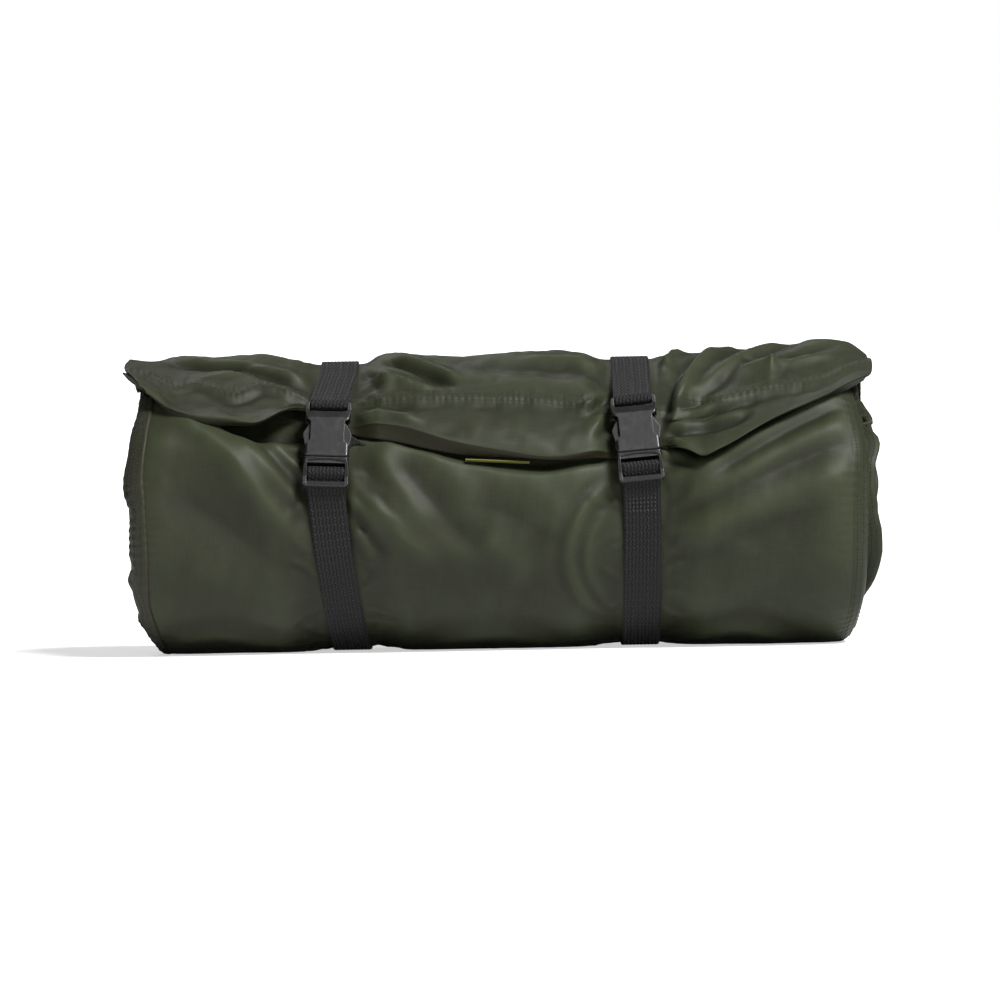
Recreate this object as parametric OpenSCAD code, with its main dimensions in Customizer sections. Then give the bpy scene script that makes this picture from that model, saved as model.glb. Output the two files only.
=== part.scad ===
// Rolled bivy sack, held shut by two webbing straps with side-release buckles.
// Millimetres. X runs along the roll, -Y is the front and Z is up.
// The origin is the middle of the face that the roll rests on.
// Angles round the roll start at the front and go up over the top to the back.

/* [Roll] */
// Length of the outer turn from hem to hem
panel_length = 494; // [440:1:560]
// Radius of the outer turn
roll_radius = 99; // [94:1:112]
// How far the roll settles into the face that it rests on
roll_sag = 3; // [2:0.5:4]
// Thickness of the outer turn
panel_thickness = 5; // [3:0.5:6]
// How far the ends of the outer turn draw in
end_draw_in = 12; // [8:0.5:15]
// Length over which the ends draw in
end_round = 28; // [22:1:36]
// How far the floor sheet's inner turns stand out past the hems
floor_overhang = 5.5; // [3:0.5:12]
// How far the top sheet's inner turns stand out past the hems
top_overhang = 3; // [1:0.5:10]
// Thickness of one inner layer of folded fabric
layer_thickness = 5.5; // [4:0.5:7]
// Clear gap between two inner layers
layer_gap = 1; // [0.6:0.1:2]
// Radius of the open core in the middle of the roll
core_radius = 12; // [8:1:20]
// Width of the side hems
hem_width = 10; // [6:0.5:13]
// Thickness of the side hems
hem_thickness = 1.2; // [0.8:0.1:2]
// Clear gap between pieces of fabric that lie on each other
fabric_clearance = 0.3; // [0.2:0.05:0.6]

/* [Hood flap] */
// Thickness of the flap
flap_thickness = 3; // [2:0.5:4]
// Angle of the seam that joins the flap to the outer turn
seam_angle = 112; // [104:1:124]
// How far the flap reaches past the left end of the outer turn
flap_left_overhang = 5.5; // [3:0.5:9]
// How far the flap reaches past the right end of the outer turn
flap_right_overhang = 1; // [0.5:0.5:6]
// How far the lip stands off the roll between the straps
lip_lift = 7; // [6:0.5:10]
// Width of the gathered channel along the lip
channel_width = 10; // [9:0.5:13]
// Wall of the gathered channel
channel_wall = 0.5; // [0.4:0.1:0.7]
// Width of the elastic in the channel
elastic_width = 6; // [4:0.5:6.5]
// Thickness of the elastic in the channel
elastic_thickness = 1; // [0.7:0.1:1.3]
// Length of the bare woven tab under the lip
tab_length = 43; // [30:1:60]
// How far the woven tab reaches in from the lip
tab_depth = 4; // [3:0.5:5]
// Thickness of the woven tab
tab_thickness = 0.8; // [0.6:0.1:1.2]
// Place of the woven tab along the roll
tab_x = -4; // [-25:1:20]

/* [Straps] */
// Width of the webbing
webbing_width = 25; // [22:0.5:28]
// Thickness of the webbing
webbing_thickness = 1.6; // [1.3:0.1:1.9]
// Place of the left buckle along the roll
left_strap_x = -117.5; // [-135:0.5:-100]
// Place of the right buckle along the roll
right_strap_x = 89.5; // [75:0.5:110]
// Clear gap under a strap where the roll rests
strap_floor_gap = 0.3; // [0.2:0.1:0.8]
// How far the squeeze of a strap spreads to each side
squeeze_spread = 32; // [24:1:38]
// Length of webbing sewn back on itself above the socket
fold_length = 27; // [22:1:30]
// Length of the running end tucked up behind the buckle
tail_length = 29; // [18:0.5:32]
// Slant of the left strap's running end, which peeks out beside the buckle
left_tail_slant = 35; // [0:1:38]
// Slant of the right strap's running end
right_tail_slant = 0; // [0:1:38]
// Clear gap on both faces of the running end behind a buckle
tail_clearance = 0.8; // [0.6:0.1:1.5]
// Length of a bar tack across the webbing
tack_length = 19; // [14:0.5:21]
// Width of a bar tack along the webbing
tack_width = 1.4; // [1:0.1:2]
// Height of a bar tack above the webbing
tack_height = 0.5; // [0.3:0.1:0.8]
// Spacing of the bar tacks
tack_pitch = 2.8; // [2.4:0.1:3.4]
// Distance from the socket's bar to the first bar tack
tack_start = 14; // [10:0.5:16]
// Distance from the plug's end bar to the right strap's first lower bar tack
lower_tack_start = 14; // [10:0.5:18]

/* [Buckles] */
// Angle round the roll at which the buckles sit
buckle_angle = 26; // [18:1:32]
// Turn of the left buckle on the roll
left_buckle_turn = -3; // [-12:1:6]
// Turn of the right buckle on the roll
right_buckle_turn = 5; // [-6:1:8]
// Width of the rails beside the webbing slots
rail_width = 2.2; // [1.9:0.1:2.8]
// Clear gap beside the webbing in its slots
slot_clearance = 0.3; // [0.2:0.05:0.5]
// Clear gap between the webbing and the bars that it goes round
bar_clearance = 0.25; // [0.2:0.05:0.4]
// Thickness of the socket
socket_thickness = 10.4; // [9.6:0.1:12]
// Thickness of the socket's walls
socket_wall = 1.8; // [1.4:0.1:2]
// Length of the socket's body
socket_body = 33; // [32:0.5:38]
// Depth of the socket's hollow
socket_depth = 30; // [28.5:0.5:31]
// Radius of the crown on the socket's front and back
socket_crown = 150; // [100:5:250]
// Height of the socket's webbing slot
socket_slot = 4.4; // [4:0.1:5.5]
// Diameter of the socket's webbing bar
socket_bar = 3.6; // [3:0.1:4.4]
// Thickness of the rails at the socket's webbing bar
socket_end_thickness = 6.4; // [5.4:0.1:8]
// Depth of the finger openings in the socket's sides
opening_depth = 3.8; // [3.2:0.1:4.4]
// Distance from the mouth to the ledges that hold the latches
ledge_height = 7.6; // [7:0.1:8.2]
// Length of the finger openings at the socket's sides
opening_length = 20.4; // [19.6:0.2:21.2]
// Slope of the finger openings at the mouth's end
opening_low_slope = 3.9; // [3:0.1:4.6]
// Slope of the finger openings at the webbing's end
opening_high_slope = 2.6; // [1.8:0.1:3.4]
// Rounding of the finger openings
opening_round = 2.2; // [1:0.1:2.6]
// Thickness of the plug at its cross bar
plug_thickness = 10; // [9.4:0.1:11]
// Thickness of the plug at its free end
plug_end_thickness = 5.2; // [4.6:0.1:6.4]
// Width of the plug's cross bar
plug_crossbar = 4.2; // [3.9:0.1:5]
// Width of the thin lip on the front of the plug's cross bar
plug_lip = 1.4; // [1:0.1:2]
// Depth of the scoop under that lip
plug_scoop = 1.4; // [0.8:0.1:1.5]
// Radius of the arch along that lip
lip_arch = 58; // [45:1:90]
// Diameter of the bar that grips the webbing
grip_bar = 3.4; // [2.8:0.1:4]
// Diameter of the plug's end bar
end_bar = 4.2; // [3.6:0.1:4.6]
// Height of the slot above the grip bar
upper_slot = 3.4; // [3:0.1:4.4]
// Height of the slot below the grip bar
lower_slot = 5; // [4.6:0.1:6]
// Clear gap between the socket's mouth and the plug
mouth_gap = 0.4; // [0.2:0.1:0.8]
// Width of the plug's guide tongue
tongue_width = 4; // [3:0.1:4.4]
// Reach of the plug's guide tongue into the socket
tongue_reach = 23; // [18:0.5:26]
// Clear gap between the guide tongue and the socket's guide ribs
tongue_clearance = 0.3; // [0.2:0.05:0.4]
// Thickness of the socket's guide ribs
guide_rib = 0.8; // [0.6:0.1:1]
// Thickness of the latch arms
latch_thickness = 5; // [4.4:0.1:5.4]
// Clear gap round a latch arm at its root and its ledge
latch_clearance = 0.2; // [0.15:0.05:0.3]
// Radius of a latch arm's root
latch_root = 1.6; // [1.4:0.05:1.8]
// Width of a latch arm's stem
latch_stem = 2.6; // [2.2:0.1:3]
// Distance of a latch arm's root from the plug's side
root_inset = 8.8; // [8.4:0.1:9.2]
// Depth of a latch arm's root below the socket's mouth
root_depth = 2; // [1.8:0.1:2.3]
// How far a latch arm's wing stands out of the socket's side
wing_proud = 1; // [0.6:0.1:1.6]
// Radius of a latch arm's wing at its widest point
wing_radius = 3.9; // [3:0.1:4.5]
// Height of the widest point of a wing above the mouth
wing_height = 16.2; // [15.4:0.2:17]
// Slope of a wing towards the mouth
wing_low_slope = 11; // [9:0.5:13]
// Slope of a wing towards its tip
wing_high_slope = 28; // [24:1:34]
// Distance from the mouth to the tip of a latch arm
latch_reach = 25.4; // [24:0.2:26.4]

/* [Hidden] */
$fn = 64;

LEFT = 0;
RIGHT = 1;
olive = [0.27, 0.28, 0.23];
dark_olive = [0.2, 0.2, 0.16];
tape_olive = [0.55, 0.55, 0.2];
webbing_black = [0.13, 0.13, 0.13];
plastic_black = [0.2, 0.2, 0.21];
thread_grey = [0.42, 0.42, 0.4];

// Places along the roll that are written for a panel of the length shown in the photo.
function along_panel(points) = [for (p = points) [p[0] * panel_length / 494, p[1]]];
// Lip of the flap: place along the roll, then angle round it.
lip_line = along_panel([[-252, 62], [-208, 40], [-161, 35], [-137, 48], [-92, 30], [-29, 17],
  [24, 14], [72, 18], [105, 24], [129, 18], [184, 34], [247, 58]]);
// Gathered channel: place along the roll, then angle round it.
channel_line = along_panel([[-252, 70], [-219, 57], [-206, 60], [-179, 51], [-150, 56], [-128, 47], [-92, 46],
  [10, 46], [68, 43], [115, 43], [139, 45], [172, 50], [205, 54], [247, 66]]);
// How much deeper the outer turn tucks in under the flap: place along the roll, then depth.
tuck_line = along_panel([[-238, 0], [-208, 8], [-190, 10], [-160, 10], [-142, 4], [-124, 0], [-95, 0],
  [-60, 3], [30, 3], [72, 0], [106, 0], [130, 4], [200, 2], [232, 0]]);
// Lift of the flap over the top of the roll: place along the roll, then height.
crown_line = along_panel([[-252, 4], [-221, 0], [-190, 0], [-158, 4.5], [-136, 1], [-94, 0], [-71, 1.5],
  [-41, 0], [52, 2], [74, 0], [102, 0], [126, 3], [149, 5], [192, 7], [222, 8], [236, 5], [247, 0]]);
// Lift of the flap's lip: place along the roll, then share of the full lift.
lip_share = along_panel([[-252, 0.8], [-236, 1.1], [-208, 1.3], [-163, 1.4], [-142, 0.9], [-124, 0.5],
  [-100, 0.4], [-69, 0.8], [-35, 1], [34, 1], [60, 0.9], [89, 0.4], [104, 0.4], [120, 1], [133, 1.5],
  [181, 1.3], [218, 1.1], [247, 0.5]]);
// Broad folds of the outer turn: height, width, then places along the roll with angles round it.
broad_folds = [
  [5, 24, [[-128, 4], [-60, -2], [20, -6], [100, -8]]],
  [4.5, 22, [[96, -8], [160, -4], [247, 4]]],
  [4, 20, [[-247, 30], [-190, 22], [-120, 10]]],
  [4, 10, [[-236, 53], [-186, 25], [-160, 5], [-122, -17]]],
  [-3.5, 16, [[-232, 12], [-183, -6], [-130, -34]]],
  [2.5, 18, [[-215, -18], [-180, -32], [-128, -52]]],
  [2.5, 10, [[-230, -62], [-190, -56], [-140, -68]]],
  [4.5, 11, [[-95, 31], [-69, 10], [-50, -6], [-8, -26]]],
  [-4.5, 10, [[-80, 24], [-43, -1], [-12, -18]]],
  [-3.5, 13, [[-30, 4], [10, -4], [40, -18]]],
  [2.5, 10, [[-18, -8], [0, -18], [22, -31]]],
  [2.5, 10, [[-60, -68], [-10, -58], [50, -72]]],
  [3.5, 13, [[108, -2], [124, 4], [169, 14], [240, 38]]],
  [-3.5, 12, [[104, -4], [160, 2], [246, 10]]],
  [2, 10, [[100, -3], [130, -12], [175, -18]]],
  [3, 10, [[110, -70], [156, -57], [200, -70]]],
  [4, 9, [[-232, -215], [-190, -190], [-112, -165]]],
  [3.5, 10, [[-236, -150], [-170, -160], [-112, -140]]],
  [3.5, 9, [[-98, -200], [-50, -180], [30, -195]]],
  [-4, 10, [[-90, -150], [-20, -170], [76, -140]]],
  [3.5, 9, [[70, -215], [20, -200], [-40, -225]]],
  [4, 9, [[98, -210], [150, -190], [236, -205]]],
  [-3.5, 10, [[100, -165], [170, -150], [238, -165]]],
  [3, 9, [[98, -135], [160, -125], [230, -140]]]];
// Swell of the inner turns: angle round the roll, then share of the room left for the tuck.
swell_line = [[-248, 0.9], [-200, 0.95], [-12, 0.95], [14, 0.5], [24, 0], [62, 0], [76, 1.1],
  [90, 1.9], [104, 1.3], [112, 0.9]];
// Share of their winding in that the inner turns make up for at an angle round the roll.
fall_line = [[-248, 0.9], [-12, 0.9], [20, 0.85], [40, 0.5], [55, 0.12], [62, 0], [76, 0.5], [90, 0.9], [112, 0.9]];
// Lean of each strap: angle round the roll, then shift along it from the buckle.
lean_line = [
  [[-248, 8], [-180, 13], [-90, 14], [-66, 12], [-40, 7.5], [-12, 2], [8, -1.5], [26, 0],
    [66, 8], [124, 8]],
  [[-248, -4], [-180, -2], [-90, 0], [-25, 2], [8, 2.5], [26, 0], [66, -3], [124, -4]]];

roll_centre = roll_radius - roll_sag;
half_panel = panel_length / 2;
strap_turn = [left_buckle_turn, right_buckle_turn];
strap_place = [left_strap_x, right_strap_x];
tail_slant = [left_tail_slant, right_tail_slant];
groove_radius = roll_centre - strap_floor_gap - webbing_thickness - fabric_clearance;
groove_depth = roll_radius - groove_radius;
groove_half = webbing_width / 2 + 3;
strap_radius = groove_radius + fabric_clearance + webbing_thickness / 2;
top_rise = 3;
top_rise_start = 52;
top_rise_end = 84;
top_fall_start = 92;
top_fall_end = 130;
tuck_depth = flap_thickness + 2 * fabric_clearance;
tuck_start = 16;
tuck_end = 3;
panel_start = 62;
panel_steps = 38;
flap_steps = 15;
lift_start = 62;
lift_length = 20;
lift_margin = 6;
lift_spread = 36;
crown_top = 88;
crown_fall = 24;
crown_start = 45;
crown_rise = 35;
fold_fade = 22;
fold_fade_angle = 14;
turn_steps = 24;
end_depth = end_draw_in + hem_thickness;
turns_radius = roll_radius - max(end_depth, groove_depth) - tuck_depth - panel_thickness - layer_gap;
turn_pitch = 2 * (layer_thickness + layer_gap);
channel_height = elastic_thickness + 2 * fabric_clearance + channel_wall;

slot_width = webbing_width + 2 * slot_clearance;
half_frame = slot_width / 2 + rail_width;
hollow_half = half_frame - socket_wall;
hollow_height = socket_thickness - 2 * socket_wall;
socket_length = socket_body + socket_slot + socket_bar;
socket_bar_y = socket_length - socket_bar / 2;
plug_top = -mouth_gap;
grip_y = plug_top - plug_crossbar - upper_slot - grip_bar / 2;
end_bar_y = grip_y - grip_bar / 2 - lower_slot - end_bar / 2;
plug_length = end_bar / 2 - end_bar_y;
buckle_middle = (socket_length - plug_length) / 2;
buckle_gap = webbing_thickness + 2 * tail_clearance;
buckle_radius = groove_radius + buckle_gap + socket_thickness / 2;
tail_depth = socket_thickness / 2 + tail_clearance + webbing_thickness / 2;
bar_steps = 9;
grip_steps = 7;
roll_steps = 60;
bend_steps = 4;
edge_radius = 2.2;
corner_radius = 3;
lead_in = 0.8;
end_chamfer = 1;
half_webbing = webbing_thickness / 2;
fold_radius = socket_bar / 2 + bar_clearance + half_webbing;
grip_radius = grip_bar / 2 + bar_clearance + half_webbing;
end_radius = end_bar / 2 + bar_clearance + half_webbing;
tail_bend = 3;
tack_seat = half_webbing + 0.1;
tack_top = tack_seat + tack_height;
tack_rows = 4;
root_x = half_frame - root_inset;
latch_turn = 10;

function clamp(v) = max(0, min(1, v));
function smooth(v) = let (c = clamp(v)) c * c * (3 - 2 * c);
function unit(v) = v / norm(v);
function flat(lists) = [for (l = lists) each l];
function spread(a, b, n) = [for (i = [0 : n - 1]) a + (b - a) * i / (n - 1)];
function inside(a, b, n) = [for (i = [1 : n]) a + (b - a) * i / (n + 1)];
function mix(a, b, t) = a + (b - a) * t;

// Point at a place along the roll, an angle round it and a distance from its axis.
function around(x, angle, r) = [x, -r * cos(angle), roll_centre + r * sin(angle)];
function strap_x(s, angle) = strap_place[s] + lookup(angle, lean_line[s]);
function from_strap(s, x, angle) = abs(x - strap_x(s, angle));
function squeeze(d) = 1 - smooth((d - groove_half) / squeeze_spread);
// How far the straps ride up over the top of the roll, where they pull less tight.
function riding(angle) = let (up = angle < -180 ? angle + 360 : angle)
  top_rise * smooth((up - top_rise_start) / (top_rise_end - top_rise_start))
  * (1 - smooth((up - top_fall_start) / (top_fall_end - top_fall_start)));
function groove(x, angle) = (groove_depth - riding(angle))
  * max(squeeze(from_strap(LEFT, x, angle)), squeeze(from_strap(RIGHT, x, angle)));
function end_draw(x) = let (d = clamp((abs(x) - half_panel + end_round) / end_round))
  end_draw_in * (1 - sqrt(1 - d * d));
function under_hem(x) = abs(x) > half_panel - hem_width - fabric_clearance ? hem_thickness : 0;

// Height of the broad folds, which run out before the straps, the hems, the flap and the seam.
function on_sheet(p) = [p[0], p[1] * PI / 180 * roll_radius];
function from_line(p, a, b) = norm(p - a - clamp((p - a) * (b - a) / ((b - a) * (b - a))) * (b - a));
function fold(f, p) = let (
    line = [for (q = along_panel(f[2])) on_sheet(q)],
    d = min([for (i = [0 : len(line) - 2]) from_line(p, line[i], line[i + 1])]) / f[1])
  d > 3 ? 0 : f[0] * exp(-d * d);
function total(list, i = 0) = i < len(list) ? list[i] + total(list, i + 1) : 0;
function near_straps(x, angle) = min(from_strap(LEFT, x, angle), from_strap(RIGHT, x, angle));
function folds(x, angle) = let (
    p = on_sheet([x, angle]),
    room = smooth((near_straps(x, angle) - groove_half) / fold_fade)
      * smooth((half_panel - abs(x) - 2 * hem_width) / fold_fade)
      * smooth((lookup(x, lip_line) - 4 - angle) / fold_fade_angle)
      * smooth((angle - seam_angle + 360) / fold_fade_angle))
  room > 0 ? room * total([for (f = broad_folds) fold(f, p)]) : 0;

// Radius of the outer turn, which tucks in under the flap at the front and steps down under the hems.
function tuck(x, angle) = tuck_depth + lip_free(x, angle) * lookup(x, tuck_line);
function panel_r(x, angle) = let (lip = lookup(x, lip_line))
  roll_radius - groove(x, angle) - end_draw(x) - under_hem(x) + folds(x, angle)
  - tuck(x, angle) * smooth((angle - lip + tuck_start) / (tuck_start - tuck_end));

// Radius of the flap, which swells over the top and stands off at its lip between the straps.
function lip_free(x, angle) = smooth((near_straps(x, angle) - groove_half - lift_margin) / lift_spread);
function crown(x, angle) = lookup(x, crown_line) * lip_free(x, angle)
  * smooth((seam_angle - angle) / crown_fall) * smooth((angle - crown_start) / crown_rise);
function flap_r(x, angle) = let (
    lip = lookup(x, lip_line),
    rise = clamp((lift_start - angle) / max(lift_start - lip, lift_length)))
  roll_radius - groove(x, angle) + crown(x, angle)
  - end_draw(x) * smooth((angle - crown_top) / (seam_angle - crown_top))
  + lip_lift * lookup(x, lip_share) * lip_free(x, angle) * rise * rise;

// Places along the roll where the surface is cut, which follow the lean of the straps.
squeeze_cuts = [for (share = [0, 0.35, 0.65, 1]) groove_half + share * squeeze_spread];
hem_edge = hem_width + 0.9 * fabric_clearance;
end_cuts = [0, hem_width / 2, hem_edge, hem_edge + 2 * fabric_clearance, 0.7 * end_round];
function back_to_front(list) = [for (i = [len(list) - 1 : -1 : 0]) list[i]];
function last(list) = list[len(list) - 1];
function near_strap(c) = concat(
  [for (d = back_to_front(squeeze_cuts)) c - d],
  [for (d = squeeze_cuts) c + d]);
function near_end(x) = [for (d = end_cuts) x - sign(x) * d];
function stations(lo, hi, angle) = let (
    l = near_strap(strap_x(LEFT, angle)),
    r = near_strap(strap_x(RIGHT, angle)),
    a = near_end(lo),
    b = back_to_front(near_end(hi)))
  concat(a, inside(last(a), l[0], 2), l, inside(last(l), r[0], 4), r, inside(last(r), b[0], 3), b);

// Closed solid between two grids of points with the same rows and columns.
function quad(a, b, c, d) = [[a, b, c], [a, c, d]];
module shell(outer, inner) {
  n = len(outer);
  m = len(outer[0]);
  k = n * m;
  faces = flat(concat(
    [for (i = [0 : n - 2], j = [0 : m - 2]) let (p = i * m + j) quad(p, p + 1, p + m + 1, p + m)],
    [for (i = [0 : n - 2], j = [0 : m - 2]) let (p = k + i * m + j) quad(p, p + m, p + m + 1, p + 1)],
    [for (i = [0 : n - 2]) let (p = i * m) quad(p, p + m, k + p + m, k + p)],
    [for (i = [0 : n - 2]) let (p = i * m + m - 1) quad(p, k + p, k + p + m, p + m)],
    [for (j = [0 : m - 2]) quad(j, k + j, k + j + 1, j + 1)],
    [for (j = [0 : m - 2]) let (p = (n - 1) * m + j) quad(p, p + 1, k + p + 1, k + p)]));
  polyhedron(concat(flat(outer), flat(inner)), faces, convexity = 8);
}

// Cuts the face that the roll rests on.
module rested() {
  block = 2 * roll_radius;
  difference() {
    children();
    translate([-panel_length, -roll_radius, -block]) cube([2 * panel_length, block, block]);
  }
}

module outer_turn() {
  angles = spread(panel_start, seam_angle - 360, panel_steps);
  function grid(depth) = [for (a = angles) [for (x = stations(-half_panel, half_panel, a))
    around(x, a, panel_r(x, a) - depth)]];
  color(olive) rested() shell(grid(0), grid(panel_thickness));
}

// One sheet wound inwards from a radius, square across its width, which swells where the outer turn leaves room.
function on_turn(a) = a > seam_angle ? on_turn(a - 360) : a;
function swell(a) = let (
    at = on_turn(a),
    drop = turn_pitch * (at - panel_start + (at < panel_start ? 360 : 0)) / 360)
  1 + (tuck_depth * lookup(at, swell_line) + drop * lookup(at, fall_line)) / (turns_radius - drop);
module wound_sheet(start_radius, width) {
  turns = (start_radius - layer_thickness - core_radius) / turn_pitch;
  angles = spread(panel_start, panel_start + 360 * turns, ceil(turns * turn_steps));
  function wind(a) = start_radius - turn_pitch * (a - panel_start) / 360;
  function across(a, r) = let (out = swell(a) * r) [-out * cos(a), roll_centre + out * sin(a)];
  inner = [for (a = back_to_front(angles)) across(a, wind(a) - layer_thickness)];
  rotate([90, 0, 90])
    translate([0, 0, -width / 2])
      linear_extrude(width)
        polygon(concat([for (a = angles) across(a, wind(a))], inner));
}

module floor_sheet_turns() {
  color(dark_olive) wound_sheet(turns_radius, panel_length + 2 * floor_overhang);
}

module top_sheet_turns() {
  color(olive) wound_sheet(turns_radius - layer_thickness - layer_gap, panel_length + 2 * top_overhang);
}

module side_hem(side) {
  short_of_edge = 8;
  angles = spread(panel_start - short_of_edge, seam_angle - 360 + short_of_edge, panel_steps);
  places = [for (d = [0, 0.5, 1]) side * (half_panel - d * hem_width)];
  rows = side > 0 ? back_to_front(places) : places;
  function hem_r(x, a) = panel_r(x, a) + fabric_clearance;
  function grid(height) = [for (a = angles) [for (x = rows) around(x, a, hem_r(x, a) + height)]];
  color(dark_olive) rested() shell(grid(hem_thickness), grid(0));
}

module left_hem() {
  side_hem(-1);
}

module right_hem() {
  side_hem(1);
}

// Hood flap with its gathered channel.
function flap_angle(x, t) = seam_angle + t * (lookup(x, lip_line) - seam_angle);
function flap_stations(angle = buckle_angle + 30) =
  stations(-half_panel - flap_left_overhang, half_panel + flap_right_overhang, angle);

module hood_flap() {
  seam_gap = 0.2;
  first = seam_gap / seam_angle;
  columns = [for (t = spread(first, 1, flap_steps)) [for (i = [0 : len(flap_stations()) - 1])
    let (x = flap_stations(flap_angle(flap_stations()[i], t))[i])
      [x, flap_angle(x, t)]]];
  function grid(depth) = [for (row = columns) [for (c = row)
    around(c[0], c[1], flap_r(c[0], c[1]) - depth)]];
  color(olive) shell(grid(0), grid(flap_thickness));
}

// Strip along the channel line: offsets across it, then heights above the flap.
function channel_row(x, section) = let (a = lookup(x, channel_line), r = flap_r(x, a))
  [for (p = section) around(x, a + p[0] / r * 180 / PI, r + 2 * fabric_clearance + p[1])];

module hood_channel() {
  slope = 1;
  half = channel_width / 2;
  outside = [[-half, 0], [slope - half, channel_height], [half - slope, channel_height], [half, 0]];
  inside = [[channel_wall - half, 0], [slope + channel_wall / 2 - half, channel_height - channel_wall],
    [half - slope - channel_wall / 2, channel_height - channel_wall], [half - channel_wall, 0]];
  color(olive) shell(
    [for (x = flap_stations()) channel_row(x, outside)],
    [for (x = flap_stations()) channel_row(x, inside)]);
}

module hood_elastic() {
  half = elastic_width / 2;
  low = fabric_clearance;
  high = low + elastic_thickness;
  color(webbing_black) shell(
    [for (x = flap_stations()) channel_row(x, [[-half, high], [half, high]])],
    [for (x = flap_stations()) channel_row(x, [[-half, low], [half, low]])]);
}

module woven_tab() {
  above_lip = 3;
  a = lookup(tab_x, lip_line) + above_lip;
  lowest = min([for (d = [-1, 0, 1]) flap_r(tab_x + d * tab_length / 2, a)]);
  top = lowest - flap_thickness - fabric_clearance;
  color(tape_olive)
    translate([tab_x, 0, roll_centre])
      rotate([90 - a, 0, 0])
        translate([-tab_length / 2, -tab_thickness / 2, top - tab_depth])
          cube([tab_length, tab_thickness, tab_depth]);
}

// Frame of a buckle: X across the webbing, Y from the plug to the socket, Z away from the roll.
module buckle_frame(s) {
  translate(around(strap_place[s], buckle_angle, buckle_radius))
    rotate([90 - buckle_angle, 0, 0])
      rotate([0, 0, strap_turn[s]])
        translate([0, -buckle_middle, 0])
          children();
}

function turned(s, v) = let (
    c = cos(strap_turn[s]),
    n = sin(strap_turn[s]),
    x = v.x * c - v.y * n,
    y = v.x * n + v.y * c)
  [x, y * sin(buckle_angle) - v.z * cos(buckle_angle), y * cos(buckle_angle) + v.z * sin(buckle_angle)];
function placed(s, p) = [strap_place[s], 0, roll_centre]
  + turned(s, [p.x, p.y - buckle_middle, p.z + buckle_radius]);

// One cut across the webbing: its middle, its direction across and its outward direction.
function on_roll(s, a) = let (
    step = 3,
    lean = (strap_x(s, a + step) - strap_x(s, a - step)) / (strap_radius * 2 * step * PI / 180))
  [around(strap_x(s, a), a, strap_radius + riding(a)),
    unit([1, -lean * sin(a), -lean * cos(a)]),
    [0, -cos(a), sin(a)]];
function in_buckle(s, y, z, facing, x = 0, slant = 0) =
  [placed(s, [x, y, z]),
    turned(s, [cos(slant), -sin(slant), 0]),
    turned(s, [0, sin(facing), cos(facing)])];
function round_bar(s, y, r, facing, side = 1) =
  in_buckle(s, y + r * sin(facing), r * cos(facing), facing + (side < 0 ? 180 : 0));

// Where the webbing touches the roll on its way to a bar, as angles from the buckle.
function bar_reach(s, y) = [(y - buckle_middle) * cos(strap_turn[s]), buckle_radius];
function bar_bearing(s, y) = atan2(bar_reach(s, y)[0], bar_reach(s, y)[1]);
function upper_facing(s) = bar_bearing(s, socket_bar_y)
  + acos((strap_radius - fold_radius) / norm(bar_reach(s, socket_bar_y)));
function lower_facing(s) = bar_bearing(s, end_bar_y)
  - acos((strap_radius + end_radius) / norm(bar_reach(s, end_bar_y)));

// Cut on the straight run between two cuts: distance from the first, then height above the webbing.
function on_run(a, b, distance, height) = let (
    t = distance / norm(b[0] - a[0]),
    out = unit(mix(a[2], b[2], t)))
  [mix(a[0], b[0], t) + height * out, unit(mix(a[1], b[1], t)), out];
function upper_run(s, distance, height = 0) = on_run(
  round_bar(s, socket_bar_y, fold_radius, upper_facing(s)),
  on_roll(s, buckle_angle + upper_facing(s)), distance, height);
function lower_run(s, distance, height = 0) = on_run(
  below_plug(s), on_roll(s, buckle_angle + lower_facing(s)), distance - end_bar, height);
function turned_over(c) = [c[0], c[1], -c[2]];

// Cut a little below the plug, where the webbing still runs in line with it.
function below_plug(s) = let (facing = lower_facing(s))
  in_buckle(s, end_bar_y - end_radius * sin(facing) - end_bar * cos(facing),
    end_bar * sin(facing) - end_radius * cos(facing), facing);

tail_root = grip_y + grip_radius + tail_bend;
function tail_cut(s, t) = let (
    d = t * tail_length,
    a = tail_slant[s] * pow(t, 3))
  in_buckle(s, tail_root + d * cos(a), -tail_depth, 0, d * sin(a), a);

function strap_cuts(s) = let (
    up = upper_facing(s),
    down = lower_facing(s),
    under = webbing_thickness + bar_clearance,
    cross = asin((grip_radius + end_radius) / (grip_y - end_bar_y)))
  concat(
    [for (d = [1, 0.75, 0.5]) turned_over(upper_run(s, d * fold_length, -under))],
    [for (f = spread(up - 180, up, bar_steps)) round_bar(s, socket_bar_y, fold_radius, f)],
    [for (d = [0.25, 0.5, 0.75, 1]) upper_run(s, d * fold_length)],
    [for (a = spread(buckle_angle + up, buckle_angle + down + 360, roll_steps))
      on_roll(s, a - (a > seam_angle ? 360 : 0))],
    [for (d = [3, 2, 1]) lower_run(s, d * lower_tack_start / 2)],
    [below_plug(s), round_bar(s, end_bar_y, end_radius, down - 180, -1)],
    [round_bar(s, end_bar_y, end_radius, -cross - 180, -1)],
    [for (f = spread(-cross, 90, grip_steps)) round_bar(s, grip_y, grip_radius, f)],
    [for (f = spread(90, 0, bend_steps))
      in_buckle(s, tail_root - tail_bend * sin(f), tail_bend * (1 - cos(f)) - tail_depth, f)],
    [for (t = inside(0, 1, 3)) tail_cut(s, t)],
    [tail_cut(s, 1)]);

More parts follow.
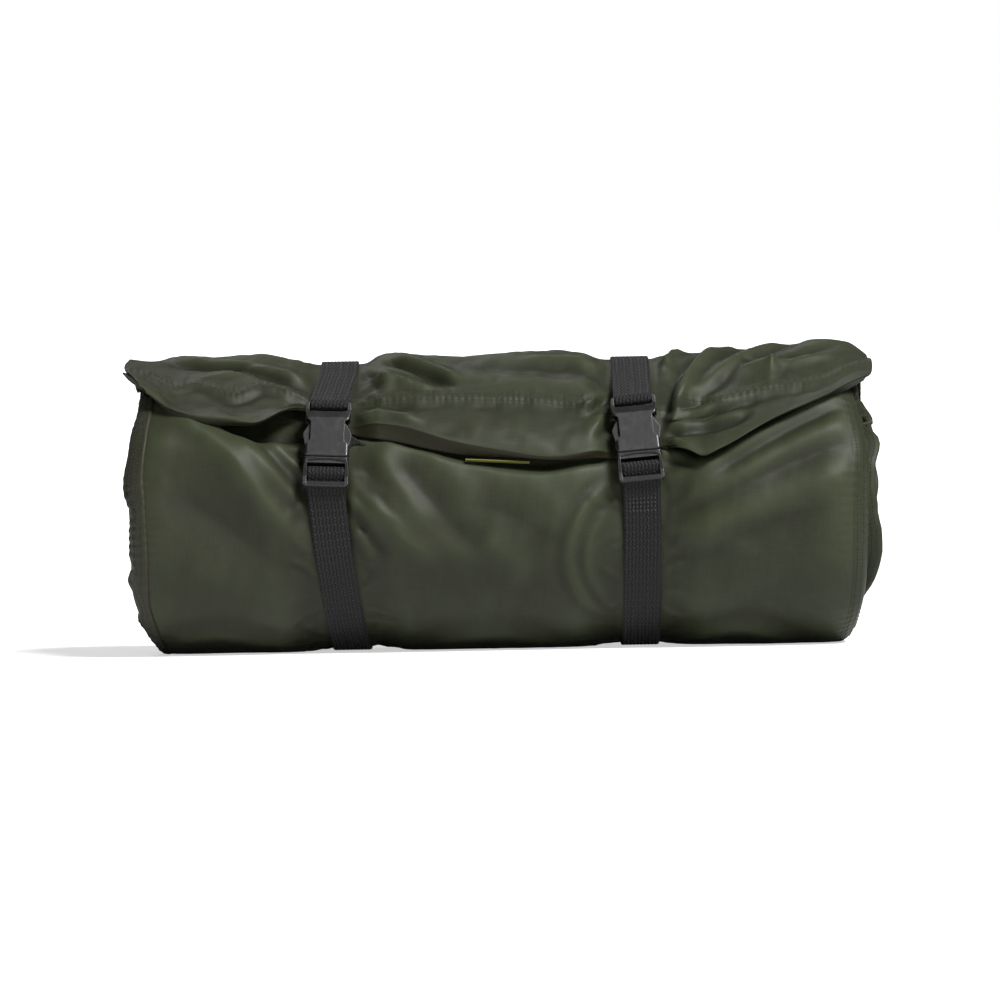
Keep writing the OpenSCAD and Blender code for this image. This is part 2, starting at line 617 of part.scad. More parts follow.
module webbing(s) {
  cuts = strap_cuts(s);
  function edge(c, across, out) = c[0] + across * webbing_width / 2 * c[1] + out * half_webbing * c[2];
  color(webbing_black) shell(
    [for (c = cuts) [edge(c, 1, 1), edge(c, -1, 1)]],
    [for (c = cuts) [edge(c, 1, -1), edge(c, -1, -1)]]);
}

module left_strap() {
  webbing(LEFT);
}

module right_strap() {
  webbing(RIGHT);
}

// Bar tack across the webbing between two cuts of a straight run.
module bar_tack(low_a, low_b, high_a, high_b) {
  function edge(c, side) = c[0] + side * tack_length / 2 * c[1];
  function grid(a, b) = [for (c = [a, b]) [edge(c, 1), edge(c, -1)]];
  color(thread_grey) shell(grid(high_a, high_b), grid(low_a, low_b));
}

// Bar tacks that close the fold above a socket.
module upper_tacks(s) {
  for (i = [0 : tack_rows - 1]) {
    a = tack_start + i * tack_pitch;
    b = a + tack_width;
    bar_tack(upper_run(s, a, tack_seat), upper_run(s, b, tack_seat),
      upper_run(s, a, tack_top), upper_run(s, b, tack_top));
  }
}

module left_bar_tacks() {
  upper_tacks(LEFT);
}

// Bar tacks across the strap below a plug.
module lower_tacks(s) {
  for (i = [0 : tack_rows - 1]) {
    b = lower_tack_start + i * tack_pitch;
    a = b + tack_width;
    bar_tack(lower_run(s, a, tack_seat), lower_run(s, b, tack_seat),
      lower_run(s, a, tack_top), lower_run(s, b, tack_top));
  }
}

module right_bar_tacks() {
  upper_tacks(RIGHT);
  lower_tacks(RIGHT);
}

// Outline with rounded corners, from its corner points and the radius at each.
function corner(a, b, c, r) = let (
    u = unit(a - b),
    v = unit(c - b),
    half = acos(u * v) / 2,
    centre = b + unit(u + v) * r / sin(half),
    from = b + u * r / tan(half) - centre,
    to = b + v * r / tan(half) - centre,
    start = atan2(from.y, from.x),
    sweep = (atan2(to.y, to.x) - start + 900) % 360 - 180,
    steps = 6)
  [for (i = [0 : steps]) centre + r * [cos(start + sweep * i / steps), sin(start + sweep * i / steps)]];
function rounded(points, radii) = let (n = len(points))
  [for (i = [0 : n - 1]) each radii[i] == 0
    ? [points[i]]
    : corner(points[(i + n - 1) % n], points[i], points[(i + 1) % n], radii[i])];

// Outlines of the buckle parts.
module round_box(size, r) {
  translate([r, 0]) square([size.x - 2 * r, size.y]);
  translate([0, r]) square([size.x, size.y - 2 * r]);
  for (x = [r, size.x - r], y = [r, size.y - r]) translate([x, y]) circle(r);
}

module crowned_section(width, thickness) {
  intersection() {
    translate([-width / 2, -thickness / 2]) round_box([width, thickness], edge_radius);
    for (side = [-1, 1])
      translate([0, side * (thickness / 2 - socket_crown)]) circle(socket_crown);
  }
}

module finger_opening() {
  top = ledge_height + opening_length;
  past = 2 * opening_round;
  inner = half_frame - opening_depth;
  function beyond(slope) = slope * past / opening_depth;
  corners = [
    [half_frame + past, ledge_height - beyond(opening_low_slope)],
    [half_frame + past, top + beyond(opening_high_slope)],
    [inner, top - opening_high_slope],
    [inner, ledge_height + opening_low_slope]];
  polygon(rounded(corners, [0, 0, opening_round, opening_round]));
}

module socket_outline() {
  difference() {
    translate([-half_frame, 0]) round_box([2 * half_frame, socket_length], corner_radius);
    translate([-slot_width / 2, socket_body]) square([slot_width, socket_length]);
    finger_opening();
    mirror([1, 0]) finger_opening();
  }
}

// Side view that is the same on both faces, from the points of its upper half.
module both_faces(half) {
  polygon(concat(half, [for (p = back_to_front(half)) [p.x, -p.y]]));
}

// Side view of a socket, as the distance from its mouth and its thickness.
module socket_side() {
  full = socket_thickness / 2;
  thin = socket_end_thickness / 2;
  taper_start = socket_body - 5;
  taper_end = socket_body + 2;
  both_faces([[0, full - lead_in], [lead_in, full], [taper_start, full], [taper_end, thin],
    [socket_length - end_chamfer, thin], [socket_length, thin - end_chamfer]]);
}

// Solid with a given outline from the front, from the side and along the webbing.
module three_outlines(width, low, high, thickness) {
  intersection() {
    translate([0, 0, -thickness]) linear_extrude(2 * thickness) children(0);
    translate([-width, 0, 0]) rotate([90, 0, 90]) linear_extrude(2 * width) children(1);
    translate([0, high, 0]) rotate([90, 0, 0]) linear_extrude(high - low) children(2);
  }
}

module cross_bar(y, diameter) {
  translate([-half_frame + rail_width / 2, y, 0])
    rotate([0, 90, 0])
      cylinder(h = 2 * half_frame - rail_width, d = diameter);
}

module socket() {
  rib_x = tongue_width / 2 + tongue_clearance;
  rib_low = ledge_height + 2;
  rib_high = 20;
  past = 1;
  color(plastic_black) {
    difference() {
      three_outlines(half_frame, 0, socket_length, socket_thickness) {
        socket_outline();
        socket_side();
        crowned_section(2 * half_frame, socket_thickness);
      }
      translate([-hollow_half, -past, -hollow_height / 2])
        cube([2 * hollow_half, socket_depth + past, hollow_height]);
      translate([-half_frame - past, ledge_height, -hollow_height / 2])
        cube([2 * (half_frame + past), opening_length, hollow_height]);
    }
    cross_bar(socket_bar_y, socket_bar);
    for (side = [-1, 1])
      translate([side > 0 ? rib_x : -rib_x - guide_rib, rib_low, -hollow_height / 2 - past / 2])
        cube([guide_rib, rib_high - rib_low, hollow_height + past]);
  }
}

module plug_outline() {
  slot_top = plug_top - plug_crossbar;
  difference() {
    translate([-half_frame, plug_top - plug_length + mouth_gap])
      round_box([2 * half_frame, plug_length - mouth_gap], corner_radius / 2);
    translate([-slot_width / 2, end_bar_y]) square([slot_width, slot_top - end_bar_y]);
    translate([-slot_width / 2, end_bar_y - end_bar]) square([slot_width, end_bar]);
  }
}

// Scoop in the front of the plug's cross bar, which leaves an arched lip at the mouth.
module lip_scoop() {
  core = plug_thickness / 2 - plug_scoop;
  translate([0, 0, core])
    linear_extrude(plug_thickness)
      intersection() {
        translate([-slot_width / 2, grip_y]) square([slot_width, plug_top - grip_y]);
        translate([0, plug_top - plug_lip - lip_arch]) circle(lip_arch);
      }
}

module plug_side() {
  full = plug_thickness / 2;
  thin = plug_end_thickness / 2;
  low = plug_top - plug_length + mouth_gap;
  shoulder = plug_top - plug_crossbar;
  shoulder_drop = 0.4;
  both_faces([[plug_top, full - lead_in], [plug_top - lead_in, full], [shoulder, full - shoulder_drop],
    [end_bar_y + end_bar, thin], [low + end_chamfer, thin], [low, thin - end_chamfer]]);
}

module guide_tongue() {
  root_flare = 2;
  root_height = 4;
  root = plug_top - 1;
  half = tongue_width / 2;
  tip = tongue_reach - half;
  translate([0, tip]) circle(half);
  polygon([[-half - root_flare, root], [half + root_flare, root], [half, root_height],
    [half, tip], [-half, tip], [-half, root_height]]);
}

// Seat of a latch arm's root, open towards the socket.
module latch_seat() {
  past = 1;
  half = latch_stem / 2 + latch_clearance;
  swing = (root_depth - mouth_gap + past) * tan(latch_turn);
  stem_lean = 1.2;
  translate([root_x, -root_depth]) circle(latch_root + latch_clearance);
  polygon([[root_x - half, -root_depth], [root_x + half, -root_depth],
    [root_x + half + stem_lean, past], [root_x - half - swing, past]]);
}

module plug() {
  seat_height = latch_thickness + 2 * latch_clearance;
  tongue_thickness = hollow_height - 2 * tongue_clearance;
  color(plastic_black) {
    difference() {
      union() {
        three_outlines(half_frame, plug_top - plug_length, plug_top, plug_thickness) {
          plug_outline();
          plug_side();
          crowned_section(2 * half_frame, plug_thickness);
        }
        translate([0, 0, -tongue_thickness / 2]) linear_extrude(tongue_thickness) guide_tongue();
      }
      for (side = [0, 1])
        mirror([side, 0, 0])
          translate([0, 0, -seat_height / 2])
            linear_extrude(seat_height)
              latch_seat();
      lip_scoop();
    }
    cross_bar(grip_y, grip_bar);
    cross_bar(end_bar_y, end_bar);
  }
}

// Outline of a latch arm: round root, slanted stem and winged head.
module latch_outline() {
  shoulder = ledge_height + latch_clearance;
  half = latch_stem / 2;
  head_inset = 6.4;
  head_slope = 2;
  head = half_frame - head_inset;
  tip_width = 2.4;
  bulge = [half_frame + wing_proud - wing_radius, wing_height];
  low = bulge + wing_radius * [cos(wing_low_slope), -sin(wing_low_slope)];
  high = bulge + wing_radius * [cos(wing_high_slope), sin(wing_high_slope)];
  shoulder_x = low.x - (low.y - shoulder) * tan(wing_low_slope);
  tip_x = high.x - (latch_reach - high.y) * tan(wing_high_slope);
  translate([root_x, -root_depth]) circle(latch_root);
  translate(bulge) circle(wing_radius);
  stem = [[root_x - half, -root_depth], [root_x + half, -root_depth], [head + latch_stem, shoulder]];
  wing = [[shoulder_x, shoulder], low, high, [tip_x, latch_reach]];
  polygon(concat(stem, wing, [[tip_x - tip_width, latch_reach], [head, shoulder + head_slope]]));
}

module latch(side) {
  color(plastic_black)
    mirror([side < 0 ? 1 : 0, 0, 0])
      translate([0, 0, -latch_thickness / 2])
        linear_extrude(latch_thickness)
          latch_outline();
}

module left_socket() {
  buckle_frame(LEFT) socket();
}

module left_plug() {
  buckle_frame(LEFT) plug();
}

module left_outer_latch() {
  buckle_frame(LEFT) latch(-1);
}

module left_inner_latch() {
  buckle_frame(LEFT) latch(1);
}

module right_socket() {
  buckle_frame(RIGHT) socket();
}

module right_plug() {
  buckle_frame(RIGHT) plug();
}

module right_inner_latch() {
  buckle_frame(RIGHT) latch(-1);
}

module right_outer_latch() {
  buckle_frame(RIGHT) latch(1);
}

outer_turn();
floor_sheet_turns();
top_sheet_turns();
left_hem();
right_hem();
hood_flap();
hood_channel();
hood_elastic();
woven_tab();
left_strap();
left_bar_tacks();
left_socket();
left_plug();
left_outer_latch();
left_inner_latch();
right_strap();
right_bar_tacks();
right_socket();
right_plug();
right_inner_latch();
right_outer_latch();
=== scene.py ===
"""Dresses the rolled bivy sack: folded nylon, gathered hood, ribbed webbing, stitching and buckles."""

import math

import bpy
import numpy as np
from mathutils import Matrix, Vector


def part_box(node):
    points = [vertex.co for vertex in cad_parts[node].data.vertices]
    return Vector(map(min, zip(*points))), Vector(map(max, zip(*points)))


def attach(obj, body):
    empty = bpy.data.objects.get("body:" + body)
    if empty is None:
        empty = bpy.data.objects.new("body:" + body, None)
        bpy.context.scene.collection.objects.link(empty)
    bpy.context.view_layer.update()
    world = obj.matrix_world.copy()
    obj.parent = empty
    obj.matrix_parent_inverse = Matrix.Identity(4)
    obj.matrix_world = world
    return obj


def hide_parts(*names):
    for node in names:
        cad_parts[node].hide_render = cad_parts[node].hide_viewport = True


bl_info = {
    "name": "Rolled Bivy Sack",
    "version": (1, 0, 0),
    "blender": (4, 5, 0),
    "location": "View3D > Sidebar > Bivy Sack",
    "description": "Folded nylon, gathered hood, ribbed webbing and stitching for a rolled bivy sack",
    "category": "Add Mesh",
}

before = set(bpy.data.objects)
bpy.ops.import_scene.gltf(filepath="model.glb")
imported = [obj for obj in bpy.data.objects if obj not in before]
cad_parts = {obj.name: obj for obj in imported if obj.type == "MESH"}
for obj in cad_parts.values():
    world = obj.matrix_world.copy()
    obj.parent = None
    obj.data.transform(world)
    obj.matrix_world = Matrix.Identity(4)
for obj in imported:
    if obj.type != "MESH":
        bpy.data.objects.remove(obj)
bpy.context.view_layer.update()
BUNDLE = "bundle"
MM = 0.001

# The roll. Angles are in degrees, start at the front and go up over the top to the back.
ROLL_RADIUS = 99 * MM
ROLL_CENTRE = 96 * MM
HALF_PANEL = 247 * MM
END_DRAW_IN = 12 * MM
END_ROUND = 28 * MM
PANEL_TOP = 62
SEAM_ANGLE = 112
SEAM_LAP = 2
GROOVE_RADIUS = 93.8 * MM
GROOVE_HALF = 15.5 * MM
TOP_RISE = 3 * MM
SQUEEZE_SPREAD = 30 * MM
HEM_WIDTH = 9 * MM
TURNS_RADIUS = 76.2 * MM
TURN_PITCH = 13 * MM
LAYER = 5.5 * MM
CORE_RADIUS = 12 * MM
FRONT_BOTTOM = -75
BACK_ROWS = 110
RISE_FROM, RISE_OVER = 52, 32
FALL_FROM, FALL_OVER = 92, 38
GATHER_PITCH = 7 * MM

# Where folds fade out: past the straps, inside the ends, beside the hems, at the seam and at the lip.
STRAP_CLEAR, STRAP_FADE = 11 * MM, 7 * MM
HOOD_CLEAR, HOOD_FADE = 12 * MM, 15 * MM
END_FADE = 16 * MM
HEM_SPREAD = 9 * MM
SEAM_FADE = 10
LIP_FADE = 7 * MM
HOOD_SPREAD = 18 * MM
HOOD_CREST = 92
HOOD_SMOOTHING = 3

# Least heights of the cloth and its thread, and how far below them the floor lies.
PANEL_REST = 0.3 * MM
HEM_REST = 0.1 * MM
THREAD_REST = 0.05 * MM
FLOOR_DROP = 0.1 * MM

# Thickness of each thread, and the share of a stitch's pitch that shows.
SHEET_THREAD = 0.55 * MM
HEM_THREAD = 0.6 * MM
CHANNEL_THREAD = 0.4 * MM
TACK_THREAD = 0.6 * MM
STITCH_SHARE = 0.7
HEM_STITCH_SHARE = 0.72

# The straps and buckles.
LEFT, RIGHT = 0, 1
SIDES = ("left", "right")
STRAP_X = (-117.5 * MM, 89.5 * MM)
BUCKLE_TURN = (-3, 5)
TAIL_SLANT = (35, 0)
BUCKLE_ANGLE = 26
WEBBING_WIDTH = 25 * MM
WEBBING = 1.6 * MM
HALF_WEBBING = WEBBING / 2
STRAP_RADIUS = GROOVE_RADIUS + 0.3 * MM + HALF_WEBBING
BUCKLE_MIDDLE = 10.2 * MM
BUCKLE_RADIUS = 102.2 * MM
SOCKET_BAR_Y = 39.2 * MM
GRIP_Y = -9.7 * MM
END_BAR_Y = -18.5 * MM
END_BAR = 4.2 * MM
FOLD_RADIUS = 2.85 * MM
GRIP_RADIUS = 2.75 * MM
END_RADIUS = 3.15 * MM
FOLD_LENGTH = 27 * MM
TAIL_LENGTH = 29 * MM
TAIL_DEPTH = 6.8 * MM
TAIL_BEND = 3 * MM
TACK_START = 14 * MM
TACK_PITCH = 2.8 * MM
TACK_WIDTH = 1.4 * MM
TACK_ROWS = 4
TACK_HEIGHT = 0.95 * MM
TACK_LEAN = 0.45 * MM
SELVEDGE = 0.5 * MM
SELVEDGE_HEIGHT = 0.36 * MM
PICOT = 0.14 * MM
ZIGZAG = 0.34 * MM
WEAVE_STEP = 0.65 * MM
PICKS = 4
# One rib of the webbing: share of the way across it, then its height in millimetres.
RIB_SHAPE = ((0, 0.5), (0.25, 0.76), (0.5, 0.84), (0.75, 0.76))

# Lights: name, bearing and height in degrees, then spread.
SUNS = (("key", (40, 50), 20), ("front", (15, 3), 8), ("back", (195, 48), 20))
FLOOR_SIZE = 60
FLOOR_GLOW = 0.62
CAMERA_TARGET = Vector((-2.8, -100, 102)) * MM
SENSOR = 36.0
CAMERA_CLIP = 100

# Lean of each strap: angle round the roll, then millimetres along it from the buckle.
LEAN = (
    [
        (-248, 8), (-180, 13), (-90, 14), (-66, 12), (-40, 7.5), (-12, 2), (8, -1.5), (26, 0), (66, 8),
        (124, 8),
    ],
    [(-248, -4), (-180, -2), (-90, 0), (-25, 2), (8, 2.5), (26, 0), (66, -3), (124, -4)],
)

# Side edges of the outer turn: angle round the roll, then millimetres along it.
LEFT_EDGE = [
    (-248, -244), (-180, -248), (-90, -236), (-70, -240), (-52, -245.5), (-38, -249.5), (-15, -250),
    (5, -251), (15, -252), (30, -249.5), (48, -245), (62, -243),
]
# How far the left hem's scallops stand past that edge.
HEM_SCALLOPS = [
    (-248, 0), (-120, 0.5), (-90, -1), (-72, -4), (-64, 0.2), (-54, 1.6), (-47, -1.5), (-40.5, -3),
    (-36, -0.5), (-30, 1.9), (-26.5, 0.6), (-23.6, -1.4), (-20, 0.4), (-12, 0.5), (-4, -0.2), (1, -1.7),
    (4, 0.2), (9, 2), (15, 1.8), (25, 0.6), (40, 0.8), (52, -0.5), (62, 0),
]
RIGHT_EDGE = [
    (-248, 241), (-180, 243), (-90, 233), (-72, 234), (-43, 240.5), (0, 242.5), (25, 242.5), (52, 235.5),
    (62, 233),
]
# Right edge of the floor sheet's outermost turn, which shows past the outer turn.
FLOOR_EDGE = [
    (-298, 240), (-250, 248), (-180, 250), (-110, 246), (-62, 240), (-52, 247), (-40, 250.5), (-3, 250.5),
    (5, 248.5), (24, 251), (33, 252), (45, 244), (62, 240),
]

# How far out the inner turns reach at the left and the right end: height above the floor, then millimetres.
END_REACH = (
    [(0, 232), (20, 238), (45, 245), (120, 247), (150, 245), (180, 241)],
    [(0, 230), (18, 233), (32, 240), (46, 248), (60, 252), (138, 252), (150, 248), (162, 241), (180, 237)],
)
# How the inner turns fill the roll at an angle round it: millimetres outwards, then the share of
# their winding in that they make up for.
TURN_SWELL = [
    (-248, 7.5), (-200, 7.9), (-12, 7.9), (14, 7), (30, 5), (45, 4), (56, 3), (62, 3), (76, 9), (88, 14),
    (100, 11.5), (112, 7.5),
]
TURN_FALL = [
    (-248, 0.9), (-12, 0.9), (20, 0.85), (40, 0.5), (55, 0.12), (62, 0), (76, 0.5), (90, 0.9), (112, 0.9),
]

# Rows of the hood flap: millimetres along the roll, then an angle round it or a lift off it in millimetres.
CROWN_LIFT = [
    (-255, 4), (-221, 0.6), (-190, 0.3), (-173, 2.8), (-158, 4.3), (-136, 1), (-94, 0), (-71, 1.5),
    (-41, -1.5), (-1, 1), (52, 2), (74, 0), (102, 0), (126, 1), (149, 2.5), (166, 4), (192, 6), (222, 8.5),
    (236, 6), (247, -2),
]
CHANNEL_ANGLE = [
    (-252, 72), (-238, 69), (-219, 58), (-205, 61), (-193, 57), (-180, 53), (-161, 58), (-133, 52),
    (-92, 49), (-42, 48), (12, 47), (68, 42), (116, 42), (140, 44), (174, 49), (195, 51), (219, 55),
    (239, 65), (247, 67),
]
CHANNEL_LIFT = [
    (-252, 3), (-225, 2), (-208, 1.2), (-188, 1), (-165, 1.4), (-140, 1), (-95, 1), (0, 1.5), (72, 0.5),
    (106, 0.5), (140, 2.5), (200, 4), (247, 2),
]
CREASE_LIFT = [
    (-252, 3), (-230, 1), (-208, -0.8), (-188, -1.5), (-165, -1.2), (-145, -0.8), (-117, 0), (-95, 0.5),
    (-35, 1), (34, 1), (72, -0.5), (106, -2), (120, -6), (138, -7), (152, -3), (172, 1), (205, 3), (247, 2),
]
BELLY_LIFT = [
    (-252, 4), (-208, 2), (-163, 2.5), (-133, 0), (-117, 0), (-95, 2), (-35, 5), (34, 5.5), (72, 1.5),
    (106, 0), (133, 1), (150, 3.5), (181, 6), (218, 6), (247, 3),
]
LIP_ANGLE = [
    (-252, 54), (-236, 48), (-225, 42), (-208, 38), (-185, 36), (-163, 34), (-145, 41), (-131, 46),
    (-117, 40), (-95, 36), (-69, 33), (-35, 26), (-2, 22), (34, 19), (72, 22.5), (89, 24), (106, 24),
    (124, 20), (133, 17.5), (144, 20), (181, 32), (218, 43), (240, 52), (247, 55),
]
LIP_LIFT = [
    (-252, 6), (-236, 8), (-208, 9), (-185, 9.5), (-163, 10), (-145, 6), (-133, 2), (-117, 0), (-100, 2),
    (-69, 5), (-35, 7), (0, 7), (34, 7), (60, 6), (74, 2), (89, 0), (104, 2), (118, 7), (133, 11),
    (150, 10), (181, 9), (218, 8), (240, 6), (247, 4),
]
# How far the underside of the lip drops below it in degrees, and the share of its lift that is left there.
UNDER_DROP = [
    (-255, -9), (-246, -7), (-236, -2), (-150, -1.5), (-125, 0), (-95, 0.6), (75, 0.6), (95, 0),
    (110, -1.5), (247, -2),
]
UNDER_SHARE = [(-255, 0.3), (-140, 0.3), (-95, 0.6), (75, 0.6), (110, 0.3), (247, 0.3)]
FACING_LIFT = [
    (-255, 0), (-236, -2), (-208, -4), (-150, -4), (-125, 0), (-95, 0.5), (75, 0.5), (110, 0), (133, -3),
    (247, -2),
]
FACING_ANGLE = [
    (-255, 71), (-240, 66), (-225, 54), (-208, 46), (-163, 41), (-133, 48), (-117, 39), (-95, 31),
    (-69, 27), (-35, 22), (0, 20), (20, 19.5), (40, 18.5), (72, 20), (89, 21), (106, 26), (133, 22),
    (144, 24), (181, 35), (218, 45), (247, 58),
]
# Where the outer turn goes out of sight under the hood, and how deep it tucks in there.
TUCK_ANGLE = [
    (-243, 57), (-235, 53), (-205, 43), (-182, 32), (-136, 27), (-92, 28), (-29, 17), (27, 12), (72, 17),
    (108, 22), (131, 17), (171, 28), (243, 56),
]
TUCK_DEPTH = [
    (-252, 3), (-228, 7), (-208, 14), (-190, 18), (-160, 18), (-145, 12), (-128, 6), (-112, 5), (-60, 8),
    (30, 9), (75, 5), (130, 10), (200, 7), (243, 4),
]

# Folds: width and height in millimetres, share of a valley beside it, then places along and angles round.
PANEL_FOLDS = [
    (24, 5, 0.0, [(-128, 4), (-60, -2), (20, -6), (100, -8)]),
    (22, 4.5, 0.0, [(96, -8), (160, -4), (262, 4)]),
    (20, 4, 0.0, [(-262, 32), (-190, 22), (-120, 10)]),
    (10, 5, 0.6, [(-236, 53), (-209, 37), (-186, 25), (-160, 5), (-122, -17)]),
    (7, 5, 0.8, [(-184, 34), (-153, 15), (-122, -5)]),
    (6, 4, 0.8, [(-160, 31), (-136, 17), (-120, 7)]),
    (16, -3.5, 0.3, [(-232, 12), (-183, -6), (-130, -34)]),
    (18, 2.5, 0.0, [(-215, -18), (-180, -32), (-128, -52)]),
    (9, 3.5, 0.6, [(-110, 21), (-88, 2), (-70, -9), (-36, -24)]),
    (6, 2, 0.7, [(-112, 10), (-93, -1), (-80, -14)]),
    (4.5, 2.2, 0.8, [(-112, 0), (-95, -11), (-84, -22)]),
    (13, 4, 0.3, [(-95, 31), (-69, 10), (-50, -6), (-8, -26)]),
    (12, -4.5, 0.3, [(-80, 24), (-43, -1), (-12, -18)]),
    (13, -3.5, 0.2, [(-30, 4), (10, -4), (40, -18)]),
    (10, 2.5, 0.2, [(-18, -8), (0, -18), (22, -31)]),
    (4, 1.5, -0.7, [(80, 14), (58, 3), (46, -8), (42, -19), (46, -30), (58, -43), (78, -56)]),
    (3.2, 1.0, -0.8, [(82, 6), (64, -5), (55, -17), (58, -30), (72, -46), (82, -54)]),
    (6, -3, 0.5, [(130, 10), (143, 13), (187, 28), (240, 45)]),
    (12, 3.5, 0.2, [(104, 2), (150, 9), (200, 24), (246, 38)]),
    (10, -3.5, 0.2, [(102, -7), (143, 3), (201, 18), (250, 28)]),
    (14, 3.5, 0.0, [(108, -16), (170, 0), (250, 16)]),
    (13, -3, 0.2, [(112, -24), (176, -8), (252, 7)]),
    (20, 3, 0.0, [(106, -42), (180, -28), (250, -18)]),
    (6, 2, 0.6, [(100, 9), (124, 14), (150, 18)]),
    (10, 2, 0.2, [(100, -3), (130, -12), (175, -18)]),
    (9, 3, 0.4, [(110, -70), (156, -57), (200, -70)]),
    (10, 2.5, 0.3, [(-60, -68), (-10, -58), (50, -72)]),
    (9, 2.5, 0.3, [(-230, -62), (-190, -56), (-140, -68)]),
]
STRAP_SIDE_FOLDS = PANEL_FOLDS[4:6] + PANEL_FOLDS[8:11]
BACK_FOLDS = [
    (7, 4, 0.6, [(-232, -215), (-190, -190), (-112, -165)]),
    (9, 3.5, 0.4, [(-236, -150), (-170, -160), (-112, -140)]),
    (8, 3.5, 0.5, [(-98, -200), (-50, -180), (30, -195)]),
    (10, -4, 0.3, [(-90, -150), (-20, -170), (76, -140)]),
    (7, 3.5, 0.6, [(70, -215), (20, -200), (-40, -225)]),
    (6, 3, 0.7, [(-95, -128), (-40, -122), (20, -135)]),
    (8, 4, 0.5, [(98, -210), (150, -190), (236, -205)]),
    (10, -3.5, 0.3, [(100, -165), (170, -150), (238, -165)]),
    (7, 3, 0.6, [(98, -135), (160, -125), (230, -140)]),
]
HOOD_FOLDS = [
    (5, -3, 0.6, [(-110, 84), (-95, 70), (-86, 60), (-82, 48)]),
    (5, -5.5, 0.8, [(-82, 84), (-71, 76), (-51, 66), (-28, 52)]),
    (4.5, 4, 0.6, [(-104, 62), (-81, 63), (-61, 57), (-32, 49)]),
    (6, 3.5, 0.5, [(-108, 98), (-60, 86), (0, 82), (66, 92)]),
    (9, -3, 0.4, [(-30, 72), (20, 66), (80, 62)]),
    (6, 3, 0.4, [(10, 78), (50, 74), (86, 66)]),
    (4.5, -5, 0.7, [(140, 90), (134, 80), (120, 62), (111, 46), (104, 28)]),
    (6.5, 4, 0.5, [(160, 104), (148, 84), (129, 62), (116, 44), (104, 30)]),
    (6, 4, 0.7, [(200, 98), (176, 82), (150, 66), (133, 52), (106, 37)]),
    (5, 3, 0.6, [(124, 92), (112, 76), (104, 60)]),
    (4, -4, 0.8, [(103, 29), (130, 30), (157, 33), (170, 38)]),
    (3.5, 3.5, 0.8, [(103, 36), (125, 38), (145, 41)]),
    (5, 1.8, 0.6, [(187, 78), (181, 61), (178, 47)]),
    (9, -2.4, 0.3, [(160, 76), (200, 70), (240, 76)]),
    (5, 3.5, 0.6, [(150, 66), (190, 64), (238, 76)]),
    (5.5, -4.5, 0.8, [(-232, 86), (-175, 70), (-122, 53)]),
    (5, 2, 0.6, [(-212, 66), (-168, 68), (-120, 61)]),
    (7, 4, 0.5, [(-244, 94), (-190, 86), (-120, 78)]),
    (4, 3, 0.7, [(86, 58), (66, 50), (48, 36)]),
    (4, 2.6, 0.7, [(88, 48), (70, 40), (56, 28)]),
    (5, 3, 0.6, [(-104, 42), (-80, 40), (-50, 34)]),
]


def smooth(v):
    """Smooth step from 0 to 1."""
    c = np.clip(v, 0, 1)
    return c * c * (3 - 2 * c)


def through(points, places):
    """Smooth curve through listed points, read at the given places."""
    px, py = (np.array(c, dtype=float) for c in zip(*points))
    slope = np.gradient(py, px)
    i = np.clip(np.searchsorted(px, places) - 1, 0, len(px) - 2)
    wide = px[i + 1] - px[i]
    t = np.clip((places - px[i]) / wide, 0, 1)
    start, end = t * (1 - t) ** 2 * wide * slope[i], t * t * (t - 1) * wide * slope[i + 1]
    return py[i] + (py[i + 1] - py[i]) * t * t * (3 - 2 * t) + start + end


def running(steps):
    """Distance reached after each step, from 0."""
    return np.concatenate([[0], np.cumsum(steps)])


def distances(path):
    """Distance of each point along a path."""
    return running(np.linalg.norm(np.diff(path, axis=0), axis=1))


def unit(vectors):
    return vectors / np.maximum(np.linalg.norm(vectors, axis=-1, keepdims=True), 1e-12)


def off_axis(points):
    """Way from the roll's axis to each point."""
    away = points - np.array([0, 0, ROLL_CENTRE])
    away[..., 0] = 0
    return away


def line(points, places):
    """Straight stretches between listed points, with places in metres along the roll."""
    return np.interp(np.asarray(places) / MM, *zip(*points))


def curve(points, places):
    """Smooth curve through listed points, with places in metres along the roll."""
    return through(points, np.asarray(places) / MM)


def around(x, angle, r):
    """Points at places along the roll, angles round it and distances from its axis."""
    a = np.radians(angle)
    x, a, r = np.broadcast_arrays(x, a, r)
    return np.stack([x, -r * np.cos(a), ROLL_CENTRE + r * np.sin(a)], -1)


def strap_x(s, angle):
    return STRAP_X[s] + MM * through(LEAN[s], np.asarray(angle, dtype=float))


def strap_distance(x, angle):
    """Distance along the roll to the nearer strap's middle."""
    return np.minimum(abs(x - strap_x(LEFT, angle)), abs(x - strap_x(RIGHT, angle)))


def riding(angle):
    """How far the straps rise over the layers on top of the roll."""
    up = np.where(np.asarray(angle) < -180, np.asarray(angle) + 360, angle)
    return TOP_RISE * smooth((up - RISE_FROM) / RISE_OVER) * (1 - smooth((up - FALL_FROM) / FALL_OVER))


def groove(x, angle, spread=SQUEEZE_SPREAD):
    """Depth that the straps press into the roll."""
    squeeze = 1 - smooth((strap_distance(x, angle) - GROOVE_HALF) / spread)
    return (ROLL_RADIUS - GROOVE_RADIUS - riding(angle)) * squeeze


def from_end(x, angle):
    """Distance inwards from the nearer side edge of the outer turn."""
    left, right = (MM * through(edge, np.asarray(angle, dtype=float)) for edge in (LEFT_EDGE, RIGHT_EDGE))
    return np.minimum(x - left, right - x)


def end_draw(x, angle):
    """How far the outer turn draws in towards its side edges."""
    d = np.clip(1 - from_end(x, angle) / END_ROUND, 0, 1)
    return END_DRAW_IN * (1 - np.sqrt(1 - d * d))


